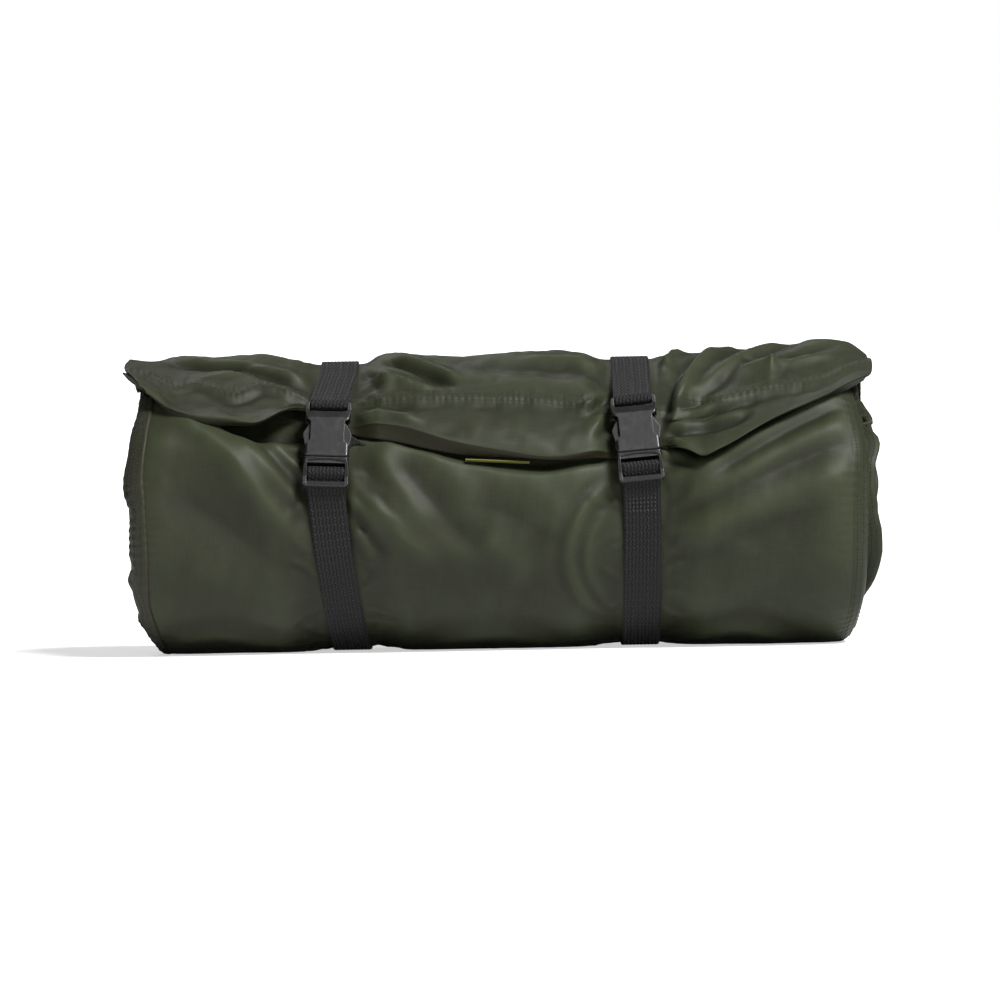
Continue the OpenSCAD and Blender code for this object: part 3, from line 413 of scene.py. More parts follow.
FOLD_STEPS = 7
FOLD_REACH = 4.5
FOLD_TAPERS = (0.25, 0.3)
VALLEY_ASIDE = 1.6


def fold_heights(x, angle, folds, crisp=2.0):
    """Heights of listed folds over places along the roll and angles round it."""
    s = np.radians(angle) * ROLL_RADIUS
    total = np.zeros(x.shape)
    for width, height, valley, points in folds:
        ends = np.array([(p[0] * MM, math.radians(p[1]) * ROLL_RADIUS) for p in points])
        t = np.linspace(0, 1, FOLD_STEPS * len(points))
        knots = np.linspace(0, 1, len(points))
        path = np.stack([through(list(zip(knots, ends[:, k])), t) for k in (0, 1)], -1)
        steps = np.hypot(*np.diff(path, axis=0).T)
        reached = running(steps)
        low = path.min(0) - FOLD_REACH * width * MM
        high = path.max(0) + FOLD_REACH * width * MM
        close = (x > low[0]) & (x < high[0]) & (s > low[1]) & (s < high[1])
        cx, cs = x[close], s[close]
        near, side, along = np.full(cx.shape, np.inf), np.zeros(cx.shape), np.zeros(cx.shape)
        for i, length in enumerate(steps):
            (ax, az), (dx, dz) = path[i], path[i + 1] - path[i]
            share = np.clip(((cx - ax) * dx + (cs - az) * dz) / length**2, 0, 1)
            ex, ez = cx - ax - share * dx, cs - az - share * dz
            gap = np.hypot(ex, ez)
            nearer = gap < near
            near = np.where(nearer, gap, near)
            side = np.where(nearer, np.sign(dx * ez - dz * ex), side)
            along = np.where(nearer, (reached[i] + share * length) / reached[-1], along)
        u = near * side / (width * MM)
        taper = smooth(along / FOLD_TAPERS[0]) * smooth((1 - along) / FOLD_TAPERS[1])
        beside = math.copysign(VALLEY_ASIDE, valley)
        crest = np.exp(-np.abs(u) ** crisp)
        total[close] += height * MM * taper * (crest - abs(valley) * np.exp(-((u - beside) ** 2)))
    return total


def fine_creases(seed, folds, count, width, height):
    """Fine creases that run beside the broad folds, each along a part of its way."""
    rng = np.random.default_rng(seed)
    fine = []
    for broad, _, _, points in folds:
        knots = np.linspace(0, 1, len(points))
        for _ in range(count):
            start = rng.uniform(0, 0.5)
            way = np.linspace(start, start + rng.uniform(0.3, 0.5), 4)
            aside = rng.uniform(-1.5, 1.5) * broad * math.degrees(MM / ROLL_RADIUS)
            x, angle = (through(list(zip(knots, c)), way) for c in zip(*points))
            places = list(zip(x, angle + aside))
            fine.append((rng.uniform(*width), rng.uniform(*height), rng.uniform(0.3, 0.9), places))
    return fine


FAN_START = 11
FAN_ANGLES = (-240, 112, 8.5)


def strap_fans(seed, reach, height):
    """Small tension folds that leave both edges of each strap all the way round."""
    rng = np.random.default_rng(seed)
    folds = []
    for s in (LEFT, RIGHT):
        for side in (-1, 1):
            for angle in np.arange(*FAN_ANGLES):
                a = angle + rng.uniform(-3, 3)
                x = strap_x(s, a) / MM + side * FAN_START
                long = rng.uniform(*reach)
                slant = rng.uniform(-14, 14)
                bend = rng.uniform(-4, 4)
                points = [(x, a), (x + side * long / 2, a + slant / 2 + bend), (x + side * long, a + slant)]
                folds.append((rng.uniform(2, 3.6), rng.uniform(*height), rng.uniform(0.4, 0.9), points))
    return folds


RIPPLES = 16


def ripples(x, angle, seed, lengths, height):
    """Soft ripples of loose cloth, as a sum of waves in seeded directions."""
    rng = np.random.default_rng(seed)
    s = np.radians(angle) * ROLL_RADIUS
    total = np.zeros(x.shape)
    for _ in range(RIPPLES):
        length = rng.uniform(*lengths) * MM
        turn = rng.uniform(0, math.pi)
        wave = (x * math.cos(turn) + s * math.sin(turn)) * 2 * math.pi / length
        wave = wave + rng.uniform(0, 2 * math.pi)
        total += np.sin(wave + 0.8 * np.sin(wave * 0.37 + rng.uniform(0, 6)))
    return total * height * MM / math.sqrt(RIPPLES)


def gathers(s, pitch):
    """Uneven gathers along a seam, from -1 to 1."""
    turn = 2 * math.pi * s / pitch + 1.7 * np.sin(s / (4.1 * pitch)) + 0.9 * np.sin(s / (1.9 * pitch) + 1)
    swell = 0.55 + 0.45 * np.sin(s / (2.7 * pitch) + 2)
    return swell * np.sin(turn)


def panel_radius(x, angle):
    """Outer turn without its folds."""
    tuck = MM * line(TUCK_DEPTH, x) * smooth((angle - curve(TUCK_ANGLE, x)) / 7)
    return ROLL_RADIUS - groove(x, angle) - end_draw(x, angle) - tuck


def panel_surface(x, angle):
    """Outer turn with its folds, flat where it rests."""
    clear = smooth((strap_distance(x, angle) - STRAP_CLEAR) / STRAP_FADE)
    inset = from_end(x, angle)
    inside_ends = smooth(inset / END_FADE)
    fine = strap_fans(7, (10, 30), (0.2, 0.8))
    fine += fine_creases(17, STRAP_SIDE_FOLDS, 3, (2.2, 3.6), (0.2, 0.7))
    folds = fold_heights(x, angle, PANEL_FOLDS + BACK_FOLDS + fine, 1.6)
    folds += ripples(x, angle, 11, (60, 150), 0.8) + ripples(x, angle, 12, (12, 30), 0.12)
    s = np.radians(angle) * ROLL_RADIUS
    at_hem = np.exp(-(((inset - HEM_WIDTH) / HEM_SPREAD) ** 2))
    puckers = 0.3 * MM * at_hem * gathers(s, GATHER_PITCH)
    held = smooth((angle - SEAM_ANGLE + 360) / SEAM_FADE)
    r = panel_radius(x, angle) + clear * held * (inside_ends * folds + puckers)
    points = around(x, angle, r)
    points[..., 2] = np.maximum(points[..., 2], PANEL_REST)
    return points


def mesh_object(name, points, faces, uv=None):
    """Mesh object from points, four-cornered faces and, where given, a cloth map for each corner."""
    mesh = bpy.data.meshes.new(name)
    mesh.vertices.add(len(points))
    mesh.vertices.foreach_set("co", np.ascontiguousarray(points, dtype=np.float32).ravel())
    mesh.loops.add(faces.size)
    mesh.loops.foreach_set("vertex_index", faces.astype(np.int32).ravel())
    mesh.polygons.add(len(faces))
    mesh.polygons.foreach_set("loop_start", np.arange(0, faces.size, faces.shape[1], dtype=np.int32))
    if uv is not None:
        layer = mesh.uv_layers.new(name="cloth")
        layer.data.foreach_set("uv", np.ascontiguousarray(uv, dtype=np.float32).ravel())
    mesh.update(calc_edges=True)
    mesh.validate()
    mesh.polygons.foreach_set("use_smooth", np.ones(len(mesh.polygons), dtype=bool))
    obj = bpy.data.objects.new(name, mesh)
    bpy.context.scene.collection.objects.link(obj)
    return obj


def grid_faces(rows, columns, closed=False):
    """Faces of a grid of points, and the row and column of each corner.

    A closed grid joins its last column to its first.
    """
    last = columns if closed else columns - 1
    i, j = np.meshgrid(np.arange(rows - 1), np.arange(last), indexing="ij")
    corner_rows = np.stack([i, i, i + 1, i + 1], -1).reshape(-1, 4)
    corner_columns = np.stack([j, j + 1, j + 1, j], -1).reshape(-1, 4)
    return corner_rows * columns + corner_columns % columns, corner_rows, corner_columns


def sheet_object(name, points, outwards=True, closed=False, cloth_map=None):
    """Sheet from rows and columns of points. Its cloth map is in metres along them unless one is given."""
    rows, columns = points.shape[:2]
    faces, corner_rows, corner_columns = grid_faces(rows, columns, closed)
    ring = np.concatenate([points, points[:, :1]], 1) if closed else points
    across = np.linalg.norm(np.diff(ring, axis=1), axis=2).mean(0)
    down = np.linalg.norm(np.diff(points, axis=0), axis=2).mean(1)
    u, v = cloth_map or (running(across), running(down))
    uv = np.stack([u[corner_columns], v[corner_rows]], -1)
    flat = points.reshape(-1, 3)
    a, b, c = (flat[faces[:, k]] for k in (0, 1, 2))
    facing = np.einsum("ij,ij->", np.cross(b - a, c - b), off_axis(a)) > 0
    if outwards and not facing:
        faces, uv = faces[:, ::-1], uv[:, ::-1]
    return mesh_object(name, flat, faces, uv)


def use(obj):
    """Makes one object the selected and active one."""
    bpy.ops.object.select_all(action="DESELECT")
    obj.select_set(True)
    bpy.context.view_layer.objects.active = obj


def apply_modifier(obj, kind, **settings):
    """Adds one modifier with its settings and applies it."""
    use(obj)
    modifier = obj.modifiers.new(kind.title(), kind)
    for key, value in settings.items():
        setattr(modifier, key, value)
    bpy.ops.object.modifier_apply(modifier=modifier.name)


def close_ends(obj):
    """Fills the open ends of a piece and turns its faces outwards."""
    use(obj)
    bpy.ops.object.mode_set(mode="EDIT")
    bpy.ops.mesh.select_all(action="SELECT")
    bpy.ops.mesh.fill_holes(sides=0)
    bpy.ops.mesh.select_all(action="SELECT")
    bpy.ops.mesh.normals_make_consistent(inside=False)
    bpy.ops.object.mode_set(mode="OBJECT")


def outward_normals(points):
    """Unit normals of a grid of points, away from the roll's axis."""
    down, across = np.gradient(points, axis=0), np.gradient(points, axis=1)
    n = unit(np.cross(down, across))
    turn = np.sign(np.einsum("ijk,ijk->ij", n, off_axis(points)))[..., None]
    return n * np.where(turn == 0, 1, turn)


def blurred(values, cells):
    """Grid of values, averaged over so many cells to each side along its rows and its columns."""
    for axis, n in enumerate(cells):
        for _ in range(2):
            pad = [(n + 1, n) if k == axis else (0, 0) for k in range(values.ndim)]
            total = np.cumsum(np.pad(values, pad, mode="edge"), axis)
            count = total.shape[axis] - 2 * n - 1
            first, last = (np.take(total, np.arange(k, k + count), axis) for k in (0, 2 * n + 1))
            values = (last - first) / (2 * n + 1)
    return values


def relief(points, scales):
    """How far a grid stands out or lies in, from 0 to 1, over pairs of a reach and a height."""
    normals = outward_normals(points)
    spacing = [np.median(np.linalg.norm(np.diff(points, axis=k), axis=2)) for k in (0, 1)]
    total = 0
    for reach, height in scales:
        cells = [max(1, int(round(reach * MM / step))) for step in spacing]
        out = np.einsum("ijk,ijk->ij", points - blurred(points, cells), normals)
        total = total + np.tanh((out - (reach * MM) ** 2 / (3 * ROLL_RADIUS)) / (height * MM))
    return np.clip(0.5 + 0.5 * total / len(scales), 0, 1)


def paint_relief(obj, values):
    """Stores the relief of a grid on the points of its piece, for the finish to paint as shade in the
    valleys and highlight on the ridges.
    """
    layer = obj.data.attributes.new("relief", "FLOAT", "POINT")
    layer.data.foreach_set("value", np.ascontiguousarray(values, dtype=np.float32).ravel())


def finish_piece(obj, material, replaces=()):
    """Gives a piece its finish and its body."""
    obj.data.materials.clear()
    obj.data.materials.append(material)
    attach(obj, BUNDLE)
    if replaces:
        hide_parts(*replaces)


# Reach and height of the relief that the finishes paint as shade in the valleys and highlight on the
# ridges, in millimetres.
PANEL_RELIEF = ((5, 0.9), (14, 2.4))
HOOD_RELIEF = ((4, 0.7), (10, 1.8))
# Rings of one stitch: share of the way along, then width and rise as shares of its thickness.
STITCH_RINGS = (
    (0.0, 0.3, -0.5),
    (0.14, 1.0, -0.05),
    (0.5, 1.1, 0.15),
    (0.86, 1.0, -0.05),
    (1.0, 0.3, -0.5),
)
STITCH_SIDES = 6


def stitches(name, starts, ends, outs, thickness):
    """One mesh of many short stitches, each a capsule whose ends dip into the cloth."""
    axis = unit(ends - starts)
    side = unit(np.cross(axis, outs))
    up = np.cross(side, axis)
    turn = np.linspace(0, 2 * math.pi, STITCH_SIDES, endpoint=False)
    rings = []
    for share, wide, rise in STITCH_RINGS:
        centre = starts + share * (ends - starts) + rise * thickness * up
        for t in turn:
            rings.append(centre + wide * thickness / 2 * (math.cos(t) * side + math.sin(t) * up))
    points = np.stack(rings, 1)
    faces, _, _ = grid_faces(len(STITCH_RINGS), STITCH_SIDES, closed=True)
    last = (len(STITCH_RINGS) - 1) * STITCH_SIDES
    caps = []
    for first in (0, last):
        ring = np.arange(first, first + STITCH_SIDES)
        ring = ring if first == last else ring[::-1]
        caps += [ring[[0, 1, 2, 3]], ring[[3, 4, 5, 0]]]
    faces = np.concatenate([faces, np.array(caps)])[:, ::-1]
    count = points.shape[1]
    offsets = np.arange(len(points))[:, None, None] * count
    return mesh_object(name, points.reshape(-1, 3), (faces[None] + offsets).reshape(-1, 4))


def stitch_row(path, outs, pitch, share):
    """Starts, ends and outward directions of a row of stitches along a path."""
    reached = distances(path)
    first = np.arange(0, reached[-1] - pitch, pitch)

    def at(places, values):
        return np.stack([np.interp(places, reached, values[:, k]) for k in range(3)], -1)

    return at(first, path), at(first + share * pitch, path), unit(at(first + pitch / 2, outs))


def joined_rows(rows):
    return tuple(np.concatenate(parts) for parts in zip(*rows))


class Paint:
    """Node tree of one finish. node() makes any node, and value() wraps a socket for arithmetic."""

    def __init__(self, name):
        self.material = bpy.data.materials.new(name)
        self.material.use_nodes = True
        self.tree = self.material.node_tree
        self.shader = self.tree.nodes["Principled BSDF"]

    def node(self, kind, settings=None, **inputs):
        made = self.tree.nodes.new(kind)
        for key, value in (settings or {}).items():
            if key == "stops":
                self.set_stops(made.color_ramp, value)
            else:
                setattr(made, key, value)
        for key, value in inputs.items():
            numbered = key[0] == "i" and key[1:].isdigit()
            self.feed(made.inputs[int(key[1:]) if numbered else key.replace("_", " ")], value)
        return made

    def set_stops(self, ramp, stops):
        while len(ramp.elements) < len(stops):
            ramp.elements.new(0.5)
        for element, (place, value) in zip(ramp.elements, stops):
            element.position = place
            element.color = (value, value, value, 1)

    def feed(self, socket, value):
        if isinstance(value, Value):
            value = value.socket
        if isinstance(value, bpy.types.NodeSocket):
            self.tree.links.new(value, socket)
        else:
            socket.default_value = value

    def value(self, socket):
        return Value(self, socket)

    def scaled(self, where, scale):
        made = self.node("ShaderNodeVectorMath", {"operation": "SCALE"}, Vector=where, Scale=scale)
        return made.outputs[0]

    def place(self, scale=1.0):
        """The piece's own coordinates, times a scale."""
        return self.scaled(self.node("ShaderNodeTexCoord").outputs["Object"], scale)

    def stretched(self, *scale):
        """The piece's own coordinates, times a scale along each axis."""
        where = self.node("ShaderNodeTexCoord").outputs["Object"]
        return self.node("ShaderNodeVectorMath", {"operation": "MULTIPLY"}, i0=where, i1=scale).outputs[0]

    def cloth(self, scale=1.0):
        """The cloth map, in metres times a scale."""
        return self.scaled(self.node("ShaderNodeUVMap", {"uv_map": "cloth"}).outputs[0], scale)

    def noise(self, where, detail=3.0, roughness=0.55):
        made = self.node(
            "ShaderNodeTexNoise", None, Vector=where, Scale=1.0, Detail=detail, Roughness=roughness
        )
        return self.value(made.outputs["Fac"])

    def ramp(self, value, *stops):
        return self.value(self.node("ShaderNodeValToRGB", {"stops": stops}, Fac=value).outputs["Color"])

    def mix(self, share, low, high):
        """Colour from low to high."""
        made = self.node("ShaderNodeMix", {"data_type": "RGBA"})
        for socket, value in zip((made.inputs[0], made.inputs[6], made.inputs[7]), (share, low, high)):
            self.feed(socket, value)
        return made.outputs[2]

    def bump(self, height, depth, strength=1.0, normal=None):
        made = self.node("ShaderNodeBump", None, Height=height, Distance=depth, Strength=strength)
        if normal is not None:
            self.feed(made.inputs["Normal"], normal)
        return made.outputs[0]

    def finish(self, **sockets):
        for key, value in sockets.items():
            self.feed(self.shader.inputs[key.replace("_", " ")], value)
        return self.material


class Value:
    """A number on a socket. Arithmetic on it adds Math nodes."""

    def __init__(self, paint, socket):
        self.paint, self.socket = paint, socket

    def math(self, operation, a, b):
        made = self.paint.node("ShaderNodeMath", {"operation": operation}, i0=a, i1=b)
        return self.paint.value(made.outputs[0])

    def __add__(self, other):
        return self.math("ADD", self, other)

    def __sub__(self, other):
        return self.math("SUBTRACT", self, other)

    def __mul__(self, other):
        return self.math("MULTIPLY", self, other)

    def __radd__(self, other):
        return self.math("ADD", other, self)

    def __rsub__(self, other):
        return self.math("SUBTRACT", other, self)

    def __rmul__(self, other):
        return self.math("MULTIPLY", other, self)

    def sine(self):
        return self.math("SINE", self, 0.0)


# From the hood's seam to its lip, and from there in under it.
HOOD_REACH = 0.142
HOOD_FACING = 20 * MM


def rgba(colour):
    return (*colour[:3], 1.0)


def shade(colour, factor):
    return (*(c * factor for c in colour[:3]), 1.0)


def weave(p, threads):
    """Height of a plain weave with so many threads to the metre."""
    split = p.node("ShaderNodeSeparateXYZ", None, Vector=p.cloth(threads * 2 * math.pi))
    u, v = p.value(split.outputs[0]), p.value(split.outputs[1])
    return u.sine() * v.sine()


def nylon(name, colour, brown_tone_and_shade, shaded_underside=None, paints_fold_shade=False):
    """Coated nylon: satin shine, fine weave and faint crumpling, with painted shade: browner and darker
    towards the left, darker in fold valleys and lighter on ridges where asked, and dark past a line where
    one is given.
    """
    p = Paint(name)
    broad = p.ramp(p.noise(p.place(14), 4), (0.35, 0.0), (0.7, 1.0))
    fine = p.noise(p.place(420), 2)
    crumple = p.noise(p.place(95), 5, 0.6)
    worn = p.ramp(p.noise(p.place(60), 6, 0.7), (0.58, 0.0), (0.75, 1.0))
    along = p.value(p.node("ShaderNodeSeparateXYZ", None, Vector=p.place()).outputs[0])
    # Painted shade: the left end, away from the key light, is painted browner and darker.
    shade_leftwards = p.ramp(along * 2 + 0.5, (0.1, 1.0), (0.7, 0.0))
    tint = p.mix(broad * 0.4 + shade_leftwards * 0.6, rgba(colour), rgba(brown_tone_and_shade))
    tint = p.mix(worn * 0.18, tint, shade(colour, 1.5))
    tint = p.mix(fine * 0.25, tint, shade(colour, 0.72))
    threads = [p.noise(p.stretched(*run), 2) for run in ((70, 750, 750), (750, 70, 70))]
    slub = p.ramp(threads[0] * 0.5 + threads[1] * 0.5, (0.38, 0.0), (0.62, 1.0))
    tint = p.mix(slub * 0.5, tint, shade(colour, 0.6))
    # Painted shade and highlight: the relief's valleys are painted darker and browner as the shade in the
    # folds, its ridges lighter as the sheen on their crests.
    if paints_fold_shade:
        stands = p.value(p.node("ShaderNodeAttribute", {"attribute_name": "relief"}).outputs["Fac"])
        tint = p.mix(p.ramp(stands, (0.1, 1.0), (0.5, 0.0)) * 0.6, tint, shade(brown_tone_and_shade, 0.45))
        tint = p.mix(p.ramp(stands, (0.5, 0.0), (0.9, 1.0)) * 0.45, tint, shade(colour, 1.6))
    # Painted shade: past the lip the cloth map's rows are painted in the dark underside colour, standing in
    # for the shade under the lip.
    if shaded_underside:
        beyond, dark = shaded_underside
        down = p.value(p.node("ShaderNodeSeparateXYZ", None, Vector=p.cloth()).outputs[1])
        tint = p.mix((down - beyond) * 900, tint, rgba(dark))
    rough = 0.46 + 0.08 * crumple + 0.05 * fine
    height = weave(p, 1300) * 0.1 + crumple * 0.7 + fine * 0.2 + slub * 0.15
    normal = p.bump(height, 0.3 * MM, 0.5)
    return p.finish(
        Base_Color=tint,
        Roughness=rough,
        Normal=normal,
        Specular_IOR_Level=0.24,
        Sheen_Weight=0.02,
        Sheen_Roughness=0.4,
    )


def webbing_finish(colour):
    """Black webbing: each rib is a chain of yarns, its crown painted pale as a highlight and its grooves
    painted dark as shade.

    The webbing's map counts ribs across and picks along.
    """
    p = Paint("ribbed_webbing")
    split = p.node("ShaderNodeSeparateXYZ", None, Vector=p.cloth())
    rib, pick = p.value(split.outputs[0]), p.value(split.outputs[1])
    sway = 0.16 * (pick * math.pi).sine()
    crown = ((rib + sway) * (2 * math.pi) - math.pi / 2).sine() * 0.5 + 0.5
    yarn = (pick * (2 * math.pi) + rib * math.pi).sine() * 0.5 + 0.5
    fuzz = p.noise(p.place(900), 3)
    # Painted highlight and shade: rib crowns are painted up to 3.4 times the webbing colour and grooves
    # down to 0.45 times, as the light on the crowns and the shade between them; the yarn term adds the
    # woven chain along each rib.
    rib_light_painted = crown * crown * (0.35 + 0.65 * yarn)
    tint = p.mix(rib_light_painted * (0.6 + 0.8 * fuzz), shade(colour, 0.45), shade(colour, 3.4))
    return p.finish(
        Base_Color=tint,
        Roughness=0.5 + 0.25 * fuzz,
        Normal=p.bump(crown + 0.4 * yarn + 0.3 * fuzz, 0.5 * MM, 0.7),
        Specular_IOR_Level=0.3,
        Sheen_Weight=0.1,
        Sheen_Roughness=0.4,
    )


def thread_finish(name, colour):
    p = Paint(name)
    fuzz = p.noise(p.place(1500), 2)
    tint = p.mix(fuzz, shade(colour, 0.75), shade(colour, 1.25))
    return p.finish(Base_Color=tint, Roughness=0.6 + 0.2 * fuzz, Normal=p.bump(fuzz, 0.08 * MM, 0.5))


def acetal_finish(colour, worn):
    """Black moulded plastic: rounded edges painted pale as wear and as edge highlights, and a faint mottle.
    """
    p = Paint("moulded_acetal")
    rounded = p.node("ShaderNodeBevel", {"samples": 6}, Radius=0.45 * MM).outputs[0]
    flat = p.node("ShaderNodeNewGeometry").outputs["True Normal"]
    facing = p.node("ShaderNodeVectorMath", {"operation": "DOT_PRODUCT"}, i0=rounded, i1=flat)
    edge = p.ramp(1 - p.value(facing.outputs["Value"]), (0.003, 0.0), (0.06, 1.0))
    mottle = p.noise(p.place(320), 4)
    scuff = p.ramp(p.noise(p.place(130), 5, 0.65), (0.5, 0.0), (0.7, 1.0))
    tint = p.mix(mottle * 0.5, rgba(colour), shade(colour, 1.5))
    # Painted highlight and wear: where the rounded normal turns from the flat one, the edges are painted
    # pale, standing in for bright edge highlights as well as rubbed edges.
    tint = p.mix(edge * (0.45 + 0.4 * scuff), tint, rgba(worn))
    return p.finish(
        Base_Color=tint,
        Roughness=0.29 + 0.12 * mottle + 0.08 * scuff,
        Normal=p.bump(mottle, 0.05 * MM, 0.4, rounded),
        Specular_IOR_Level=0.5,
    )


FINISHES = {}


def finishes():
    """All finishes, made once."""
    if not FINISHES:
        look = bpy.context.scene.bivy_looks
        # The hood's rows past its lip get the dark underside colour as painted shade.
        underside_painted_shade = (HOOD_REACH, look.shaded_underside)
        FINISHES.update(
            olive=nylon("satin_nylon", look.olive, look.brown_olive_and_shade),
            panel=nylon("panel_nylon", look.olive, look.brown_olive_and_shade, paints_fold_shade=True),
            dark=nylon("dark_nylon", look.dark_olive, look.dark_olive),
            # The hood is painted 8% darker than the olive to offset the stronger light on top of the roll.
            hood=nylon("hood_nylon", shade(look.olive, 0.92), look.brown_olive_and_shade, underside_painted_shade, paints_fold_shade=True),
            webbing=webbing_finish(look.webbing),
            thread=thread_finish("pale_thread", look.thread),
            dark_thread=thread_finish("dark_thread", look.dark_thread),
            tape=thread_finish("lime_tape", look.tape),
            elastic=thread_finish("elastic", look.webbing),
            acetal=acetal_finish(look.plastic, look.plastic_wear_and_highlight),
        )
    return FINISHES


def colour_property(name, about, default):
    return bpy.props.FloatVectorProperty(name=name, description=about, default=default, subtype="COLOR")


def length_property(name, about, default):
    return bpy.props.FloatProperty(name=name, description=about, default=default, unit="LENGTH")


def angle_property(name, about, degrees):
    angle = math.radians(degrees)
    return bpy.props.FloatProperty(name=name, description=about, default=angle, subtype="ANGLE")


def strength_property(name, about, default):
    return bpy.props.FloatProperty(name=name, description=about, default=default)


class BivyLooks(bpy.types.PropertyGroup):
    """Colours of the sack, its straps and its buckles."""

    olive: colour_property("Olive", "Main colour of the nylon", (0.0298, 0.0358, 0.0173))
    # Painted shade: dark colour for the hood past its lip, where the shade under the lip falls.
    shaded_underside: colour_property("Underside", "Inside of the hood", (0.0122, 0.0119, 0.0045))
    # Browner tone of the nylon, also used as painted shade at the left end and in the folds' valleys.
    brown_olive_and_shade: colour_property("Brown olive", "Browner cast of the nylon", (0.025, 0.0249, 0.0138))
    dark_olive: colour_property("Dark olive", "Left hem", (0.035, 0.0355, 0.0222))
    webbing: colour_property("Webbing", "Straps", (0.0049, 0.0049, 0.0054))
    thread: colour_property("Thread", "Bar tacks on the straps", (0.04, 0.04, 0.041))
    dark_thread: colour_property("Dark thread", "Stitching in the nylon", (0.015, 0.0145, 0.01))
    tape: colour_property("Tape", "Woven tab under the hood", (0.13, 0.125, 0.02))
    plastic: colour_property("Plastic", "Buckles", (0.005, 0.005, 0.0055))
    # Pale colour painted on the buckles' edges as wear and as edge highlights.
    plastic_wear_and_highlight: colour_property("Plastic wear", "Worn edges of the buckles", (0.16, 0.16, 0.165))


class BivySizes(bpy.types.PropertyGroup):
    """Sizes of the cloth and its stitching."""

    cell: length_property("Cloth cell", "Spacing of the points of the outer turn", 1.75 * MM)
    hood_thickness: length_property("Hood thickness", "Thickness of the hood's folded cloth", 1.2 * MM)
    pucker_pitch: length_property("Pucker pitch", "Spacing of the hood's gathers", 4.2 * MM)
    pucker_depth: length_property("Pucker depth", "Depth of the hood's gathers", 0.28 * MM)
    stitch_pitch: length_property("Stitch pitch", "Spacing of the stitches", 2.6 * MM)
    rib_count: bpy.props.IntProperty(
        name="Ribs", description="Lengthwise ribs of the webbing", default=10, min=4, max=16
    )


class BivyStage(bpy.types.PropertyGroup):
    """Camera, floor and light."""

    camera_distance: length_property("Camera distance", "From the front of the roll", 10.0)
    camera_elevation: angle_property("Camera elevation", "Above the horizon", 1.5)
    camera_roll: angle_property("Camera roll", "Tilt of the picture", -1.05)
    picture_width: length_property("Picture width", "Width that the picture shows at the roll", 0.6667)
    key: strength_property("Key light", "Strength of the light above in front", 4.6)
    front: strength_property("Front light", "Strength of the low light in front", 0.34)
    back: strength_property("Back light", "Strength of the light behind", 0.45)
    bounce: strength_property("Bounce", "Share of light that the floor sends back", 0.88)
    fill: strength_property("Ambient light", "Strength of the light all round", 0.06)
    floor: colour_property("Floor", "Floor colour", (0.9, 0.9, 0.9))


class BIVY_OT_stage(bpy.types.Operator):
    """Sets the floor, the lights and the camera"""

    bl_idname = "bivy.stage"
    bl_label = "Stage"

    def execute(self, context):
        settings = context.scene.bivy_stage
        self.set_camera(context, settings)
        self.set_light(context, settings)
        self.set_floor(context, settings)
        context.scene.view_settings.view_transform = "Standard"
        return {"FINISHED"}

    def set_camera(self, context, settings):
        lens = bpy.data.cameras.new("camera")
        lens.sensor_width = SENSOR
        lens.lens = SENSOR * settings.camera_distance / settings.picture_width
        lens.clip_end = CAMERA_CLIP
        camera = bpy.data.objects.new("camera", lens)
        e = settings.camera_elevation
        away = Vector((0, -math.cos(e), math.sin(e)))
        look = (-away).to_track_quat("-Z", "Y").to_matrix().to_4x4()
        place = Matrix.Translation(CAMERA_TARGET + away * settings.camera_distance)
        camera.matrix_world = place @ look @ Matrix.Rotation(settings.camera_roll, 4, "Z")
        context.scene.collection.objects.link(camera)
        context.scene.camera = camera

    def set_light(self, context, settings):
        world = bpy.data.worlds.new("studio")
        world.use_nodes = True
        tree = world.node_tree
        seen = tree.nodes.new("ShaderNodeBackground")
        seen.inputs["Color"].default_value = (1, 1, 1, 1)
        ambient = tree.nodes["Background"]
        ambient.inputs["Color"].default_value = (1, 1, 1, 1)
        ambient.inputs["Strength"].default_value = settings.fill
        path, mix = tree.nodes.new("ShaderNodeLightPath"), tree.nodes.new("ShaderNodeMixShader")
        tree.links.new(path.outputs["Is Camera Ray"], mix.inputs[0])
        tree.links.new(ambient.outputs[0], mix.inputs[1])
        tree.links.new(seen.outputs[0], mix.inputs[2])
        tree.links.new(mix.outputs[0], tree.nodes["World Output"].inputs[0])
        context.scene.world = world
        for name, bearing, spread in SUNS:
            self.sun(context, f"{name}_light", getattr(settings, name), bearing, spread)

    def sun(self, context, name, strength, bearing, spread):
        light = bpy.data.lights.new(name, "SUN")
        light.energy = strength
        light.angle = math.radians(spread)
        lamp = bpy.data.objects.new(name, light)
        across, high = (math.radians(v) for v in bearing)
        level = math.cos(high)
        away = Vector((math.sin(across) * level, -math.cos(across) * level, math.sin(high)))
        lamp.rotation_euler = away.to_track_quat("Z", "Y").to_euler()
        context.scene.collection.objects.link(lamp)

    def set_floor(self, context, settings):
        bpy.ops.object.select_all(action="DESELECT")
        bpy.ops.mesh.primitive_plane_add(size=FLOOR_SIZE, location=(0, 0, -FLOOR_DROP))
        floor = context.active_object
        floor.name = "floor"
        p = Paint("pale_floor")
        grain = p.noise(p.place(3), 2)
        tint = p.mix(grain * 0.1, rgba(settings.floor), shade(settings.floor, 1.04))
        p.finish(
            Base_Color=tint,
            Roughness=0.9,
            Specular_IOR_Level=0.1,
            Emission_Color=tint,
            Emission_Strength=FLOOR_GLOW,
        )
        card = p.node("ShaderNodeBsdfDiffuse", None, Color=shade((1, 1, 1), settings.bounce)).outputs[0]
        seen = p.node("ShaderNodeLightPath").outputs["Is Camera Ray"]
        both = p.node("ShaderNodeMixShader", None, i0=seen, i1=card, i2=p.shader.outputs[0]).outputs[0]
        p.feed(p.tree.nodes["Material Output"].inputs[0], both)
        floor.data.materials.append(p.material)


